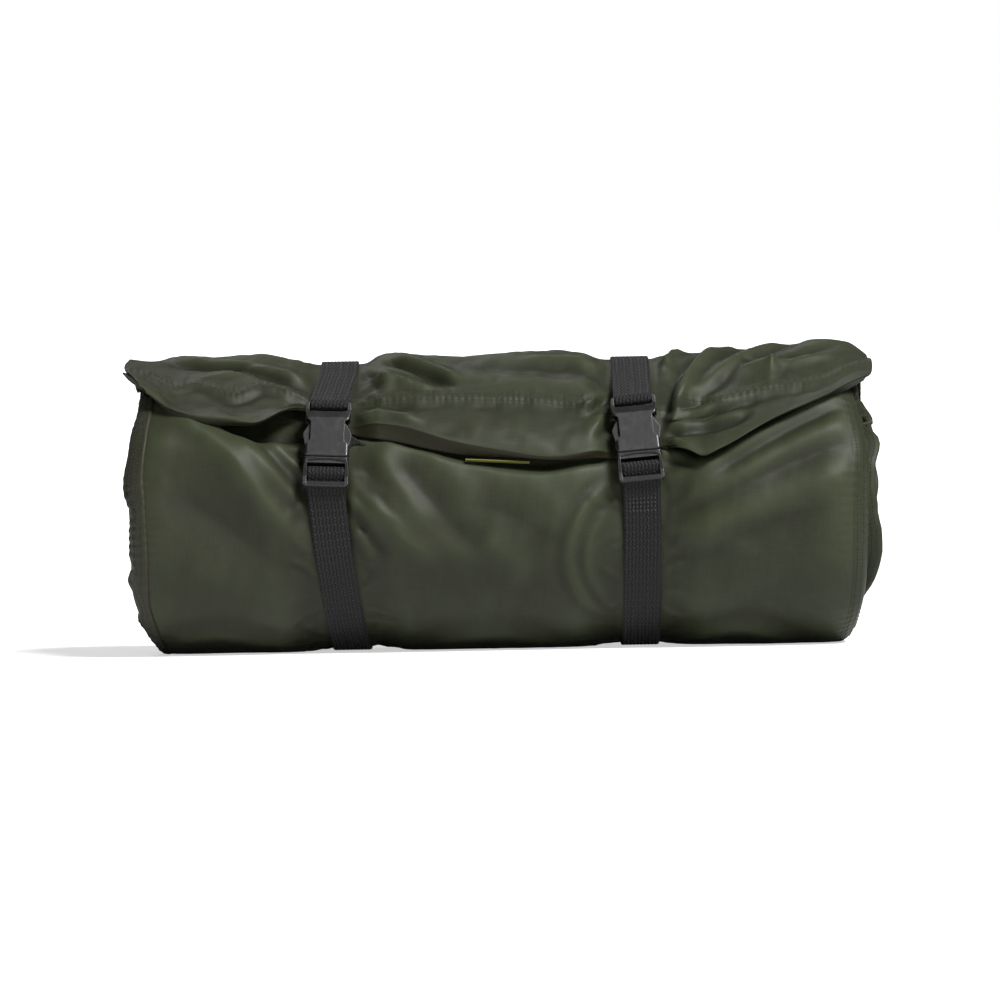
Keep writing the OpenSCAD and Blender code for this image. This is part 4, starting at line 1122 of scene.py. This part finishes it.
class BIVY_OT_outer_turn(bpy.types.Operator):
    """Makes the outer turn of the roll with its tension folds"""

    bl_idname = "bivy.outer_turn"
    bl_label = "Outer turn"

    def execute(self, context):
        cell = context.scene.bivy_sizes.cell
        columns = int(round(2 * HALF_PANEL / cell)) + 1
        front, back = (PANEL_TOP, FRONT_BOTTOM), (FRONT_BOTTOM, SEAM_ANGLE - 360)
        step = math.degrees(cell / ROLL_RADIUS)
        seen = np.arange(*front, -step * 0.9)
        angles = np.concatenate([seen, np.linspace(*back, BACK_ROWS)])
        left, right = (MM * through(edge, angles)[:, None] for edge in (LEFT_EDGE, RIGHT_EDGE))
        x = left + (right - left) * np.linspace(0, 1, columns)
        a = np.repeat(angles[:, None], columns, 1)
        points = panel_surface(x, a)
        piece = sheet_object("outer_turn_cloth", points)
        paint_relief(piece, relief(points, PANEL_RELIEF))
        finish_piece(piece, finishes()["panel"], ["outer_turn"])
        return {"FINISHED"}


# Half a sheet's section at its edge: inset from the edge, then half its thickness, in millimetres.
SHEET_SECTION = [
    (0, 0.1), (0.6, 0.8), (1.6, 1.15), (3.5, 1.25), (6, 1.1), (9, 0.75), (12, 1.2), (17, 2.2), (26, 2.7),
]
SHEET_STITCH_ROWS = ((3.5, 1.25), (7, 1.0))
STITCHED_TURN = 430
ROWS_A_TURN = 90
SCALLOP = 36 * MM
SCALLOP_DRIFT = 90 * MM
EDGE_RIPPLE = 3.5 * MM
EDGE_WAVE = 19 * MM
EDGE_FADE = 12


def edge_share(inset):
    """Share of an edge's wave that is left so many millimetres inside it."""
    return math.exp(-((inset / EDGE_FADE) ** 2))


class BIVY_OT_inner_turns(bpy.types.Operator):
    """Winds the floor sheet and the top sheet inside the roll"""

    bl_idname = "bivy.inner_turns"
    bl_label = "Inner turns"

    def execute(self, context):
        step = LAYER + 1 * MM
        self.wind("floor_sheet", "floor_sheet_turns", TURNS_RADIUS, 4 * MM, 0, "dark_olive_nylon", 21)
        self.wind("top_sheet", "top_sheet_turns", TURNS_RADIUS - step, 2 * MM, 2 * MM, "olive_nylon", 22)
        return {"FINISHED"}

    def wind(self, name, node, radius, overhang, setback, slot, seed):
        rng = np.random.default_rng(seed)
        turns = (radius - LAYER - CORE_RADIUS) / TURN_PITCH
        angles = np.linspace(0, 360 * turns, int(turns * ROWS_A_TURN))
        r = (radius - TURN_PITCH * angles / 360 - LAYER / 2) * self.swell(PANEL_TOP + angles)
        length = running(np.radians(np.diff(angles)) * (r[1:] + r[:-1]) / 2)
        edges = []
        for side in (-1, 1):
            waves = [rng.uniform(0, 2 * math.pi, 4) for _ in range(2)]
            turn = length / SCALLOP * math.pi + waves[0][0] + np.sin(length / SCALLOP_DRIFT)
            scallop = abs(np.sin(turn))
            out = HALF_PANEL + overhang * (0.1 + 0.8 * scallop)
            out = out + 0.25 * MM * np.sin(length / EDGE_RIPPLE + waves[0][1])
            if side > 0:
                first = MM * through(FLOOR_EDGE, PANEL_TOP + angles - 360)
                first = np.minimum(first, first - 1.5 * MM + 2 * MM * scallop) - setback
                out = np.where(angles < 360, first, out)
            height = ROLL_CENTRE + r * np.sin(np.radians(PANEL_TOP + angles))
            out = np.minimum(out, MM * through(END_REACH[side > 0], height / MM))
            wobble = 0.35 * MM * np.sin(length / EDGE_RIPPLE + waves[1][0])
            wobble += 1.2 * MM * np.sin(length / EDGE_WAVE + waves[1][1])
            edges.append((out, wobble))
        columns = []
        for face in (1, -1):
            for side in (-face, face):
                out, wobble = edges[(side + 1) // 2]
                for inset, half in SHEET_SECTION if side == -face else SHEET_SECTION[::-1]:
                    x = side * (out - inset * MM)
                    reach = r + edge_share(inset) * wobble + face * half * MM
                    columns.append(around(x, PANEL_TOP + angles, reach))
        points = np.stack(columns, 1)
        piece = sheet_object(name, points, outwards=False, closed=True)
        close_ends(piece)
        finish_piece(piece, finishes()["olive"], [node])
        self.stitch(name, slot, edges, angles, r)

    def swell(self, angles):
        """How much larger than a plain spiral the turns are at each angle."""
        at = (angles - SEAM_ANGLE) % 360 + SEAM_ANGLE - 360
        drop = TURN_PITCH * ((at - PANEL_TOP) % 360) / 360
        outwards = MM * np.interp(at, *zip(*TURN_SWELL)) + drop * np.interp(at, *zip(*TURN_FALL))
        return 1 + outwards / (TURNS_RADIUS - drop)

    def stitch(self, name, slot, edges, angles, r):
        pitch = bpy.context.scene.bivy_sizes.stitch_pitch
        rows = []
        shown = angles < STITCHED_TURN
        for side, (out, wobble) in zip((-1, 1), edges):
            for inset, half in SHEET_STITCH_ROWS:
                reach = r + edge_share(inset) * wobble + half * MM
                path = around(side * (out - inset * MM), PANEL_TOP + angles, reach)[shown]
                rows.append(stitch_row(path, off_axis(path), pitch, STITCH_SHARE))
        thread = stitches(name + "_stitches", *joined_rows(rows), SHEET_THREAD)
        finish_piece(thread, finishes()["dark_thread"])


# Section of a hem: place across it from its edge, then height over the outer turn, in millimetres.
HEM_SECTION = [
    (-11.5, 0.5), (-9.6, 1.0), (-8.2, 1.25), (-6.9, 0.85), (-5.6, 1.35), (-4.2, 1.4), (-2.9, 0.85),
    (-1.6, 1.3), (-0.4, 1.1), (0.4, 0.2), (0.3, -1.2), (-1.5, -2.0), (-5, -1.8), (-9.5, -1.2),
]
HEM_STITCH_COLUMNS = (3, 6)
HEM_FADE = 10.5


class BIVY_OT_hems(bpy.types.Operator):
    """Makes the side hems with their twin rows of stitching"""

    bl_idname = "bivy.hems"
    bl_label = "Hems"

    def execute(self, context):
        for side, name in zip((-1, 1), SIDES):
            self.hem(side, name, context.scene.bivy_sizes.stitch_pitch)
        return {"FINISHED"}

    def hem(self, side, name, pitch):
        angles = np.arange(PANEL_TOP - 4, SEAM_ANGLE - 357, -0.6)
        s = np.radians(angles) * ROLL_RADIUS
        gather = gathers(s, GATHER_PITCH)
        wave = 0.3 * MM * gather
        if side < 0:
            wave += MM * through(HEM_SCALLOPS, angles)
        else:
            wave += 0.9 * MM * np.sin(s / (23 * MM) + side)
        columns = []
        edge = MM * through(LEFT_EDGE if side < 0 else RIGHT_EDGE, angles)
        for offset, height in HEM_SECTION:
            near = 1 + offset / HEM_FADE
            x = edge + side * (offset * MM + near * wave)
            within = edge + side * np.minimum(offset * MM + near * wave, 0)
            base = panel_surface(within, angles)
            puff = height * MM + (0.2 * MM * gather * near if height > 0 else 0)
            if side > 0 and height > 0:
                puff = 0.12 * puff if offset > -10 else -0.3 * MM
            point = base + unit(off_axis(base)) * np.atleast_1d(puff)[:, None]
            point[:, 0] = x
            columns.append(point)
        points = np.stack(columns, 1)
        points[..., 2] = np.maximum(points[..., 2], HEM_REST)
        piece = sheet_object(f"{name}_hem_band", points, outwards=False, closed=True)
        close_ends(piece)
        cloth = finishes()["dark" if side < 0 else "olive"]
        finish_piece(piece, cloth, [f"{name}_hem"])
        rows = []
        normals = outward_normals(points)
        for column in HEM_STITCH_COLUMNS:
            rows.append(stitch_row(points[:, column], normals[:, column], pitch, HEM_STITCH_SHARE))
        thread = stitches(f"{name}_hem_stitches", *joined_rows(rows), HEM_THREAD)
        for vertex in thread.data.vertices:
            vertex.co.z = max(vertex.co.z, THREAD_REST)
        finish_piece(thread, finishes()["dark_thread" if side < 0 else "olive"])


# Half the gathered channel's width, and its height: share of the way across it, then share of that height.
CHANNEL_HALF = 5 * MM
CHANNEL_PROFILE = [
    (-1, 0.1), (-0.8, 0.4), (-0.58, 0.25), (-0.3, 0.8), (0, 1.0), (0.3, 0.8), (0.58, 0.25), (0.8, 0.4),
    (1, 0.1),
]
ELASTIC = 0.12 * MM
ELASTIC_LIFT = 0.07 * MM
ELASTIC_ROWS = 4
TAB = (4 * MM, 0.8 * MM)
TAB_LEAN = math.radians(19)
TAB_SLOPE = math.radians(3.5)
TAB_EDGE = 0.25 * MM


def hood_rows(x):
    """Angle, lift and steps to the next of each of the hood's rows, from its seam to under its lip."""
    channel, lip = curve(CHANNEL_ANGLE, x), curve(LIP_ANGLE, x)
    crown, lifted = curve(CROWN_LIFT, x), curve(LIP_LIFT, x)
    half = math.degrees(CHANNEL_HALF / ROLL_RADIUS)
    crease = channel - half - 3
    flat = np.full(x.shape, 1.0)
    return [
        ((SEAM_ANGLE + SEAM_LAP) * flat, 1.1 * flat, 2),
        (SEAM_ANGLE * flat, 1.1 * flat, 8),
        (100 * flat, 0.7 * crown, 8),
        (88 * flat, crown, 9),
        (np.maximum(76, channel + half + 4), 0.6 * crown + 0.4 * curve(CHANNEL_LIFT, x), 16),
        (channel + half, curve(CHANNEL_LIFT, x), 8),
        (channel - half, curve(CHANNEL_LIFT, x), 4),
        (crease, curve(CREASE_LIFT, x), 9),
        (crease + 0.55 * (lip - crease), curve(BELLY_LIFT, x), 9),
        (lip, lifted, 3),
        (lip - curve(UNDER_DROP, x), curve(UNDER_SHARE, x) * lifted, 6),
        (curve(FACING_ANGLE, x), curve(FACING_LIFT, x), 0),
    ]


# Ends of those rows in millimetres, and which of them are the channel's edges and the lip.
HOOD_LEFT = (-246.5, -247, -249, -250.5, -253, -253.5, -252, -248, -243, -238, -250, -254.5)
HOOD_RIGHT = (241.5, 241.5, 243, 244.5, 246, 248, 248.5, 248, 247, 245, 244, 242)
CHANNEL_HIGH, CHANNEL_LOW, LIP = 5, 6, 9
HOOD_COLUMNS = 470


def hood_grid(pitch, depth):
    """Points of the hood, the rows that its channel runs between, its lip's row and its gathers' phase."""
    share = np.linspace(0, 1, HOOD_COLUMNS)
    left, right = (np.array(v) * MM for v in (HOOD_LEFT, HOOD_RIGHT))
    places = [l + (r - l) * share for l, r in zip(left, right)]
    rows, marks = [], []
    keys = [hood_rows(x) for x in places]
    for i, x in enumerate(places):
        marks.append(len(rows))
        angle, lift, count = keys[i][i]
        if i + 1 == len(places):
            rows.append((x, angle, lift))
            break
        next_angle, next_lift, _ = keys[i + 1][i + 1]
        steps = (places[i + 1] - x, next_angle - angle, next_lift - lift)
        for t in np.arange(count) / count:
            rows.append([start + t * step for start, step in zip((x, angle, lift), steps)])
    x, angle, lift = (np.stack(part) for part in zip(*rows))
    free = smooth((strap_distance(x, angle) - HOOD_CLEAR) / HOOD_FADE)
    to_seam = smooth((angle - HOOD_CREST) / (SEAM_ANGLE - HOOD_CREST))
    over_end = end_draw(x, 0 * angle + SEAM_ANGLE - 360) * to_seam
    under_strap = groove(x, angle, HOOD_SPREAD) * (1 - to_seam) + groove(x, angle) * to_seam
    r = ROLL_RADIUS - under_strap - over_end + lift * MM * np.maximum(free, to_seam)
    points = around(x, angle, r)
    channel = (marks[CHANNEL_HIGH], marks[CHANNEL_LOW])
    lip = marks[LIP]
    edge = points[lip].copy()
    for _ in range(HOOD_SMOOTHING):
        points[1:-1] = 0.25 * points[:-2] + 0.5 * points[1:-1] + 0.25 * points[2:]
        points[lip] = edge
    outer = np.arange(len(points))[:, None] <= lip
    fine = strap_fans(31, (10, 26), (0.4, 1.4))
    fine += fine_creases(32, HOOD_FOLDS, 3, (1.6, 3), (0.3, 1.0))
    folds = fold_heights(x, angle, HOOD_FOLDS + fine, 1.45)
    folds += ripples(x, angle, 33, (36, 90), 0.8) + ripples(x, angle, 34, (12, 30), 0.24)
    middle = (channel[0] + channel[1]) / 2
    spread = np.linalg.norm(np.diff(points, axis=0), axis=2)
    reached = np.concatenate([np.zeros((1, spread.shape[1])), np.cumsum(spread, 0)])
    from_channel = reached - reached[int(middle)]
    phase = 2 * math.pi * x / pitch + 1.6 * np.sin(x / (17 * MM)) + 0.9 * np.sin(x / (7.3 * MM))
    uneven = 0.1 + 0.2 * (1 + np.sin(x / (11 * MM) + 2 * np.sin(x / (27 * MM))))
    gather = depth * uneven * np.sin(phase) * np.exp(-((from_channel / (8 * MM)) ** 2))
    gather += 0.3 * depth * np.sin(0.37 * phase + 1) * np.exp(-((from_channel / (16 * MM)) ** 2))
    held = smooth((SEAM_ANGLE - angle) / SEAM_FADE) * smooth((reached[lip] - reached) / LIP_FADE)
    folds = outer * free * held * (folds + gather)
    points = points + outward_normals(points) * folds[..., None]
    return points, channel, lip, phase


class BIVY_OT_hood(bpy.types.Operator):
    """Folds the hood flap over the roll, with its gathered channel, elastic and woven tab"""

    bl_idname = "bivy.hood"
    bl_label = "Hood"

    def execute(self, context):
        sizes = context.scene.bivy_sizes
        points, channel, lip, phase = hood_grid(sizes.pucker_pitch, sizes.pucker_depth)
        across = np.linspace(0, 0.5, HOOD_COLUMNS)
        reached = (0, HOOD_REACH, HOOD_REACH + HOOD_FACING)
        down = np.interp(np.arange(len(points)), (0, lip, len(points) - 1), reached)
        flap = sheet_object("hood_cloth", points, cloth_map=(across, down))
        paint_relief(flap, relief(points, HOOD_RELIEF))
        apply_modifier(flap, "SOLIDIFY", thickness=sizes.hood_thickness, offset=-1.0)
        finish_piece(flap, finishes()["hood"], ["hood_flap"])
        self.channel(points, channel, phase, sizes)
        self.tab()
        return {"FINISHED"}

    def channel(self, points, rows, phase, sizes):
        across = slice(rows[0], rows[1] + 1)
        band, normals, wave = points[across], outward_normals(points)[across], phase[across]
        share = np.linspace(-1, 1, len(band))[:, None]
        profile = np.interp(share, *zip(*CHANNEL_PROFILE))
        height = profile * MM * (0.6 + 0.1 * np.sin(wave))
        top = band + normals * height[..., None]
        piece = sheet_object("gathered_channel", top)
        apply_modifier(piece, "SUBSURF", levels=1, render_levels=1)
        finish_piece(piece, finishes()["olive"], ["hood_channel"])
        pitch = sizes.stitch_pitch
        sewn = [stitch_row(top[k], normals[k], pitch, STITCH_SHARE) for k in (2, len(band) - 3)]
        thread = stitches("channel_stitches", *joined_rows(sewn), CHANNEL_THREAD)
        finish_piece(thread, finishes()["dark_thread"])
        third = len(band) // 3
        held = slice(third, third + ELASTIC_ROWS)
        elastic = sheet_object("hood_elastic_band", band[held] + normals[held] * ELASTIC_LIFT)
        apply_modifier(elastic, "SOLIDIFY", thickness=ELASTIC, offset=0.0)
        finish_piece(elastic, finishes()["elastic"], ["hood_elastic"])

    def tab(self):
        low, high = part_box("woven_tab")
        bpy.ops.object.select_all(action="DESELECT")
        middle = (Vector(low) + Vector(high)) / 2
        bpy.ops.mesh.primitive_cube_add(size=1, location=(0, 0, 0))
        tab = bpy.context.active_object
        tab.name = "woven_tab_strip"
        tab.data.transform(Matrix.Diagonal((high[0] - low[0], *TAB, 1)))
        slope = Matrix.Rotation(TAB_SLOPE, 4, "Y")
        tab.data.transform(Matrix.Translation(middle) @ slope @ Matrix.Rotation(-TAB_LEAN, 4, "X"))
        apply_modifier(tab, "BEVEL", width=TAB_EDGE, segments=2)
        finish_piece(tab, finishes()["tape"], ["woven_tab"])


def turned(s, v):
    """A buckle's own direction, turned to where the buckle sits."""
    t, b = math.radians(BUCKLE_TURN[s]), math.radians(BUCKLE_ANGLE)
    x, y = v[0] * math.cos(t) - v[1] * math.sin(t), v[0] * math.sin(t) + v[1] * math.cos(t)
    return np.array([x, y * math.sin(b) - v[2] * math.cos(b), y * math.cos(b) + v[2] * math.sin(b)])


def placed(s, p):
    """A place in a buckle, put where the buckle sits."""
    way = turned(s, (p[0], p[1] - BUCKLE_MIDDLE, p[2] + BUCKLE_RADIUS))
    return np.array([STRAP_X[s], 0, ROLL_CENTRE]) + way


def on_roll(s, angle):
    """One cut across a strap on the roll: its middle, its direction across and its outward direction."""
    step = 3
    lean = (strap_x(s, angle + step) - strap_x(s, angle - step)) / (STRAP_RADIUS * math.radians(2 * step))
    a = math.radians(angle)
    across = np.array([1, -lean * math.sin(a), -lean * math.cos(a)])
    middle = around(strap_x(s, angle), angle, STRAP_RADIUS + riding(angle))
    return np.array([middle, across / np.linalg.norm(across), (0, -math.cos(a), math.sin(a))])


def in_buckle(s, y, z, facing, x=0.0, slant=0.0):
    """One cut across a strap in a buckle."""
    f, g = math.radians(facing), math.radians(slant)
    across = turned(s, (math.cos(g), -math.sin(g), 0))
    return np.array([placed(s, (x, y, z)), across, turned(s, (0, math.sin(f), math.cos(f)))])


def round_bar(s, y, r, facing, over=True):
    f = math.radians(facing)
    return in_buckle(s, y + r * math.sin(f), r * math.cos(f), facing + (0 if over else 180))


def bar_reach(s, y):
    return (y - BUCKLE_MIDDLE) * math.cos(math.radians(BUCKLE_TURN[s])), BUCKLE_RADIUS


def upper_facing(s):
    reach = bar_reach(s, SOCKET_BAR_Y)
    return math.degrees(math.atan2(*reach) + math.acos((STRAP_RADIUS - FOLD_RADIUS) / math.hypot(*reach)))


def lower_facing(s):
    reach = bar_reach(s, END_BAR_Y)
    return math.degrees(math.atan2(*reach) - math.acos((STRAP_RADIUS + END_RADIUS) / math.hypot(*reach)))


def on_run(a, b, distance, height):
    """Cut on the straight run between two cuts."""
    t = distance / np.linalg.norm(b[0] - a[0])
    middle, across, out = a + t * (b - a)
    out = out / np.linalg.norm(out)
    return np.array([middle + height * out, across / np.linalg.norm(across), out])


def upper_run(s, distance, height=0.0):
    up = upper_facing(s)
    start = round_bar(s, SOCKET_BAR_Y, FOLD_RADIUS, up)
    return on_run(start, on_roll(s, BUCKLE_ANGLE + up), distance, height)


def below_plug(s):
    f = math.radians(lower_facing(s))
    y = END_BAR_Y - END_RADIUS * math.sin(f) - END_BAR * math.cos(f)
    return in_buckle(s, y, END_BAR * math.sin(f) - END_RADIUS * math.cos(f), math.degrees(f))


def lower_run(s, distance, height=0.0):
    return on_run(below_plug(s), on_roll(s, BUCKLE_ANGLE + lower_facing(s)), distance - END_BAR, height)


def strap_cuts(s):
    """Cuts across a strap, from its sewn end round the roll to its running end behind the buckle."""
    up, down = upper_facing(s), lower_facing(s)
    cross = math.degrees(math.asin((GRIP_RADIUS + END_RADIUS) / (GRIP_Y - END_BAR_Y)))
    under = -WEBBING - 0.25 * MM
    back = np.array([1, 1, -1])[:, None]
    tail = GRIP_Y + GRIP_RADIUS + TAIL_BEND
    cuts = [upper_run(s, d * FOLD_LENGTH, under) * back for d in (1, 0.75, 0.5)]
    cuts += [round_bar(s, SOCKET_BAR_Y, FOLD_RADIUS, f) for f in np.linspace(up - 180, up, 9)]
    cuts += [upper_run(s, d * FOLD_LENGTH) for d in (0.25, 0.5, 0.75, 1)]
    for angle in np.linspace(BUCKLE_ANGLE + up, BUCKLE_ANGLE + down + 360, 60):
        cuts.append(on_roll(s, angle - (360 if angle > SEAM_ANGLE else 0)))
    cuts += [lower_run(s, d * TACK_START / 2) for d in (3, 2, 1)]
    cuts += [below_plug(s), round_bar(s, END_BAR_Y, END_RADIUS, down - 180, over=False)]
    cuts += [round_bar(s, END_BAR_Y, END_RADIUS, -cross - 180, over=False)]
    cuts += [round_bar(s, GRIP_Y, GRIP_RADIUS, f) for f in np.linspace(-cross, 90, 7)]
    for f in np.radians(np.linspace(90, 0, 4)):
        z = TAIL_BEND * (1 - math.cos(f)) - TAIL_DEPTH
        cuts.append(in_buckle(s, tail - TAIL_BEND * math.sin(f), z, math.degrees(f)))
    for t in (0.25, 0.5, 0.75, 1):
        slant = TAIL_SLANT[s] * t**3
        d, g = t * TAIL_LENGTH, math.radians(slant)
        cuts.append(in_buckle(s, tail + d * math.cos(g), -TAIL_DEPTH, 0, d * math.sin(g), slant))
    return np.array(cuts)


def rib_pitch(ribs):
    return (WEBBING_WIDTH - 2 * SELVEDGE) / ribs


class BIVY_OT_straps(bpy.types.Operator):
    """Weaves the ribbed straps through their buckles and sews their bar tacks"""

    bl_idname = "bivy.straps"
    bl_label = "Straps"

    def execute(self, context):
        for s, name in enumerate(SIDES):
            self.strap(s, name, context.scene.bivy_sizes.rib_count)
            self.tacks(s, name, context.scene.bivy_sizes.rib_count)
        return {"FINISHED"}

    def strap(self, s, name, ribs):
        cuts = strap_cuts(s)
        reached = distances(cuts[:, 0])
        places = np.linspace(0, reached[-1], int(reached[-1] / WEAVE_STEP))

        def along(values):
            return np.stack([through(list(zip(reached, values[:, k])), places) for k in range(3)], -1)

        middle, across, out = (along(cuts[:, k]) for k in range(3))
        across, out = unit(across), unit(out)
        half = WEBBING_WIDTH / 2
        pitch = rib_pitch(ribs)
        offsets, heights = [-half], [SELVEDGE_HEIGHT]
        for rib in range(ribs):
            for share, height in RIB_SHAPE:
                offsets.append(-half + SELVEDGE + (rib + share) * pitch)
                heights.append(height * MM)
        offsets += [half - SELVEDGE, half]
        heights += [RIB_SHAPE[0][1] * MM, SELVEDGE_HEIGHT]
        offsets, heights = np.array(offsets), np.array(heights)
        step = np.arange(len(places)) % PICKS
        zigzag = ZIGZAG * np.array([-1, 0, 1, 0])[step]
        picot = PICOT * np.where(step % 2, 1, -1)
        inner = np.abs(offsets) < half - 0.7 * SELVEDGE
        shifted = offsets + np.where(inner, 1, 0) * zigzag[:, None]
        shifted = shifted + np.where(inner, 0, np.sign(offsets)) * picot[:, None]
        pressed = 1 + 0.07 * np.array([0, 1, 0, -1])[step][:, None]
        faces = []
        for face, order in ((1, slice(None)), (-1, slice(None, None, -1))):
            h = face * heights * pressed
            points = middle[:, None] + shifted[..., None] * across[:, None] + h[..., None] * out[:, None]
            faces.append(points[:, order])
        at_ribs = (offsets + half - SELVEDGE) / pitch
        cloth_map = np.concatenate([at_ribs, at_ribs[::-1], at_ribs[:1]]), places / (PICKS * WEAVE_STEP)
        piece = sheet_object(f"{name}_webbing", np.concatenate(faces, 1), False, True, cloth_map)
        close_ends(piece)
        finish_piece(piece, finishes()["webbing"], [f"{name}_strap"])

    def tacks(self, s, name, ribs):
        runs = [upper_run] + ([lower_run] if s == RIGHT else [])
        starts, ends, outs = [], [], []
        pitch = rib_pitch(ribs)
        for run in runs:
            for row in range(TACK_ROWS):
                low = TACK_START + row * TACK_PITCH
                a, b = (run(s, place, TACK_HEIGHT) for place in (low, low + TACK_WIDTH))
                for rib in range(1, ribs - 1):
                    u = (rib + 0.5 - ribs / 2) * pitch
                    flip = 1 if (rib + row) % 2 else -1
                    starts.append(a[0] + (u - flip * TACK_LEAN) * a[1])
                    ends.append(b[0] + (u + flip * TACK_LEAN) * b[1])
                    outs.append(a[2])
        rows = (np.array(v) for v in (starts, ends, outs))
        thread = stitches(f"{name}_tack_stitches", *rows, TACK_THREAD)
        finish_piece(thread, finishes()["thread"], [f"{name}_bar_tacks"])


class BIVY_OT_buckles(bpy.types.Operator):
    """Finishes the moulded buckles and their latch arms"""

    bl_idname = "bivy.buckles"
    bl_label = "Buckles"

    def execute(self, context):
        for name in SIDES:
            for part in ("socket", "plug", "outer_latch", "inner_latch"):
                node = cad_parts[f"{name}_{part}"]
                node.data.materials.clear()
                node.data.materials.append(finishes()["acetal"])
        return {"FINISHED"}


class BIVY_PT_panel(bpy.types.Panel):
    """Lists the steps that dress the sack"""

    bl_idname = "BIVY_PT_panel"
    bl_label = "Bivy Sack"
    bl_space_type = "VIEW_3D"
    bl_region_type = "UI"
    bl_category = "Bivy Sack"

    def draw(self, context):
        for step in STEPS:
            self.layout.operator(step.bl_idname)
        for group in ("bivy_looks", "bivy_sizes", "bivy_stage"):
            settings = getattr(context.scene, group)
            for key in settings.__annotations__:
                self.layout.prop(settings, key)


GROUPS = {"bivy_looks": BivyLooks, "bivy_sizes": BivySizes, "bivy_stage": BivyStage}
STEPS = (
    BIVY_OT_stage,
    BIVY_OT_outer_turn,
    BIVY_OT_inner_turns,
    BIVY_OT_hems,
    BIVY_OT_hood,
    BIVY_OT_straps,
    BIVY_OT_buckles,
)


def register():
    for cls in (*GROUPS.values(), *STEPS, BIVY_PT_panel):
        bpy.utils.register_class(cls)
    for name, group in GROUPS.items():
        setattr(bpy.types.Scene, name, bpy.props.PointerProperty(type=group))


def unregister():
    for name in GROUPS:
        delattr(bpy.types.Scene, name)
    for cls in (BIVY_PT_panel, *reversed(STEPS), *reversed(GROUPS.values())):
        bpy.utils.unregister_class(cls)


def main():
    register()
    bpy.ops.object.select_all(action="DESELECT")
    bpy.ops.bivy.stage()
    bpy.ops.bivy.outer_turn()
    bpy.ops.bivy.inner_turns()
    bpy.ops.bivy.hems()
    bpy.ops.bivy.hood()
    bpy.ops.bivy.straps()
    bpy.ops.bivy.buckles()


if __name__ == "__main__":
    main()
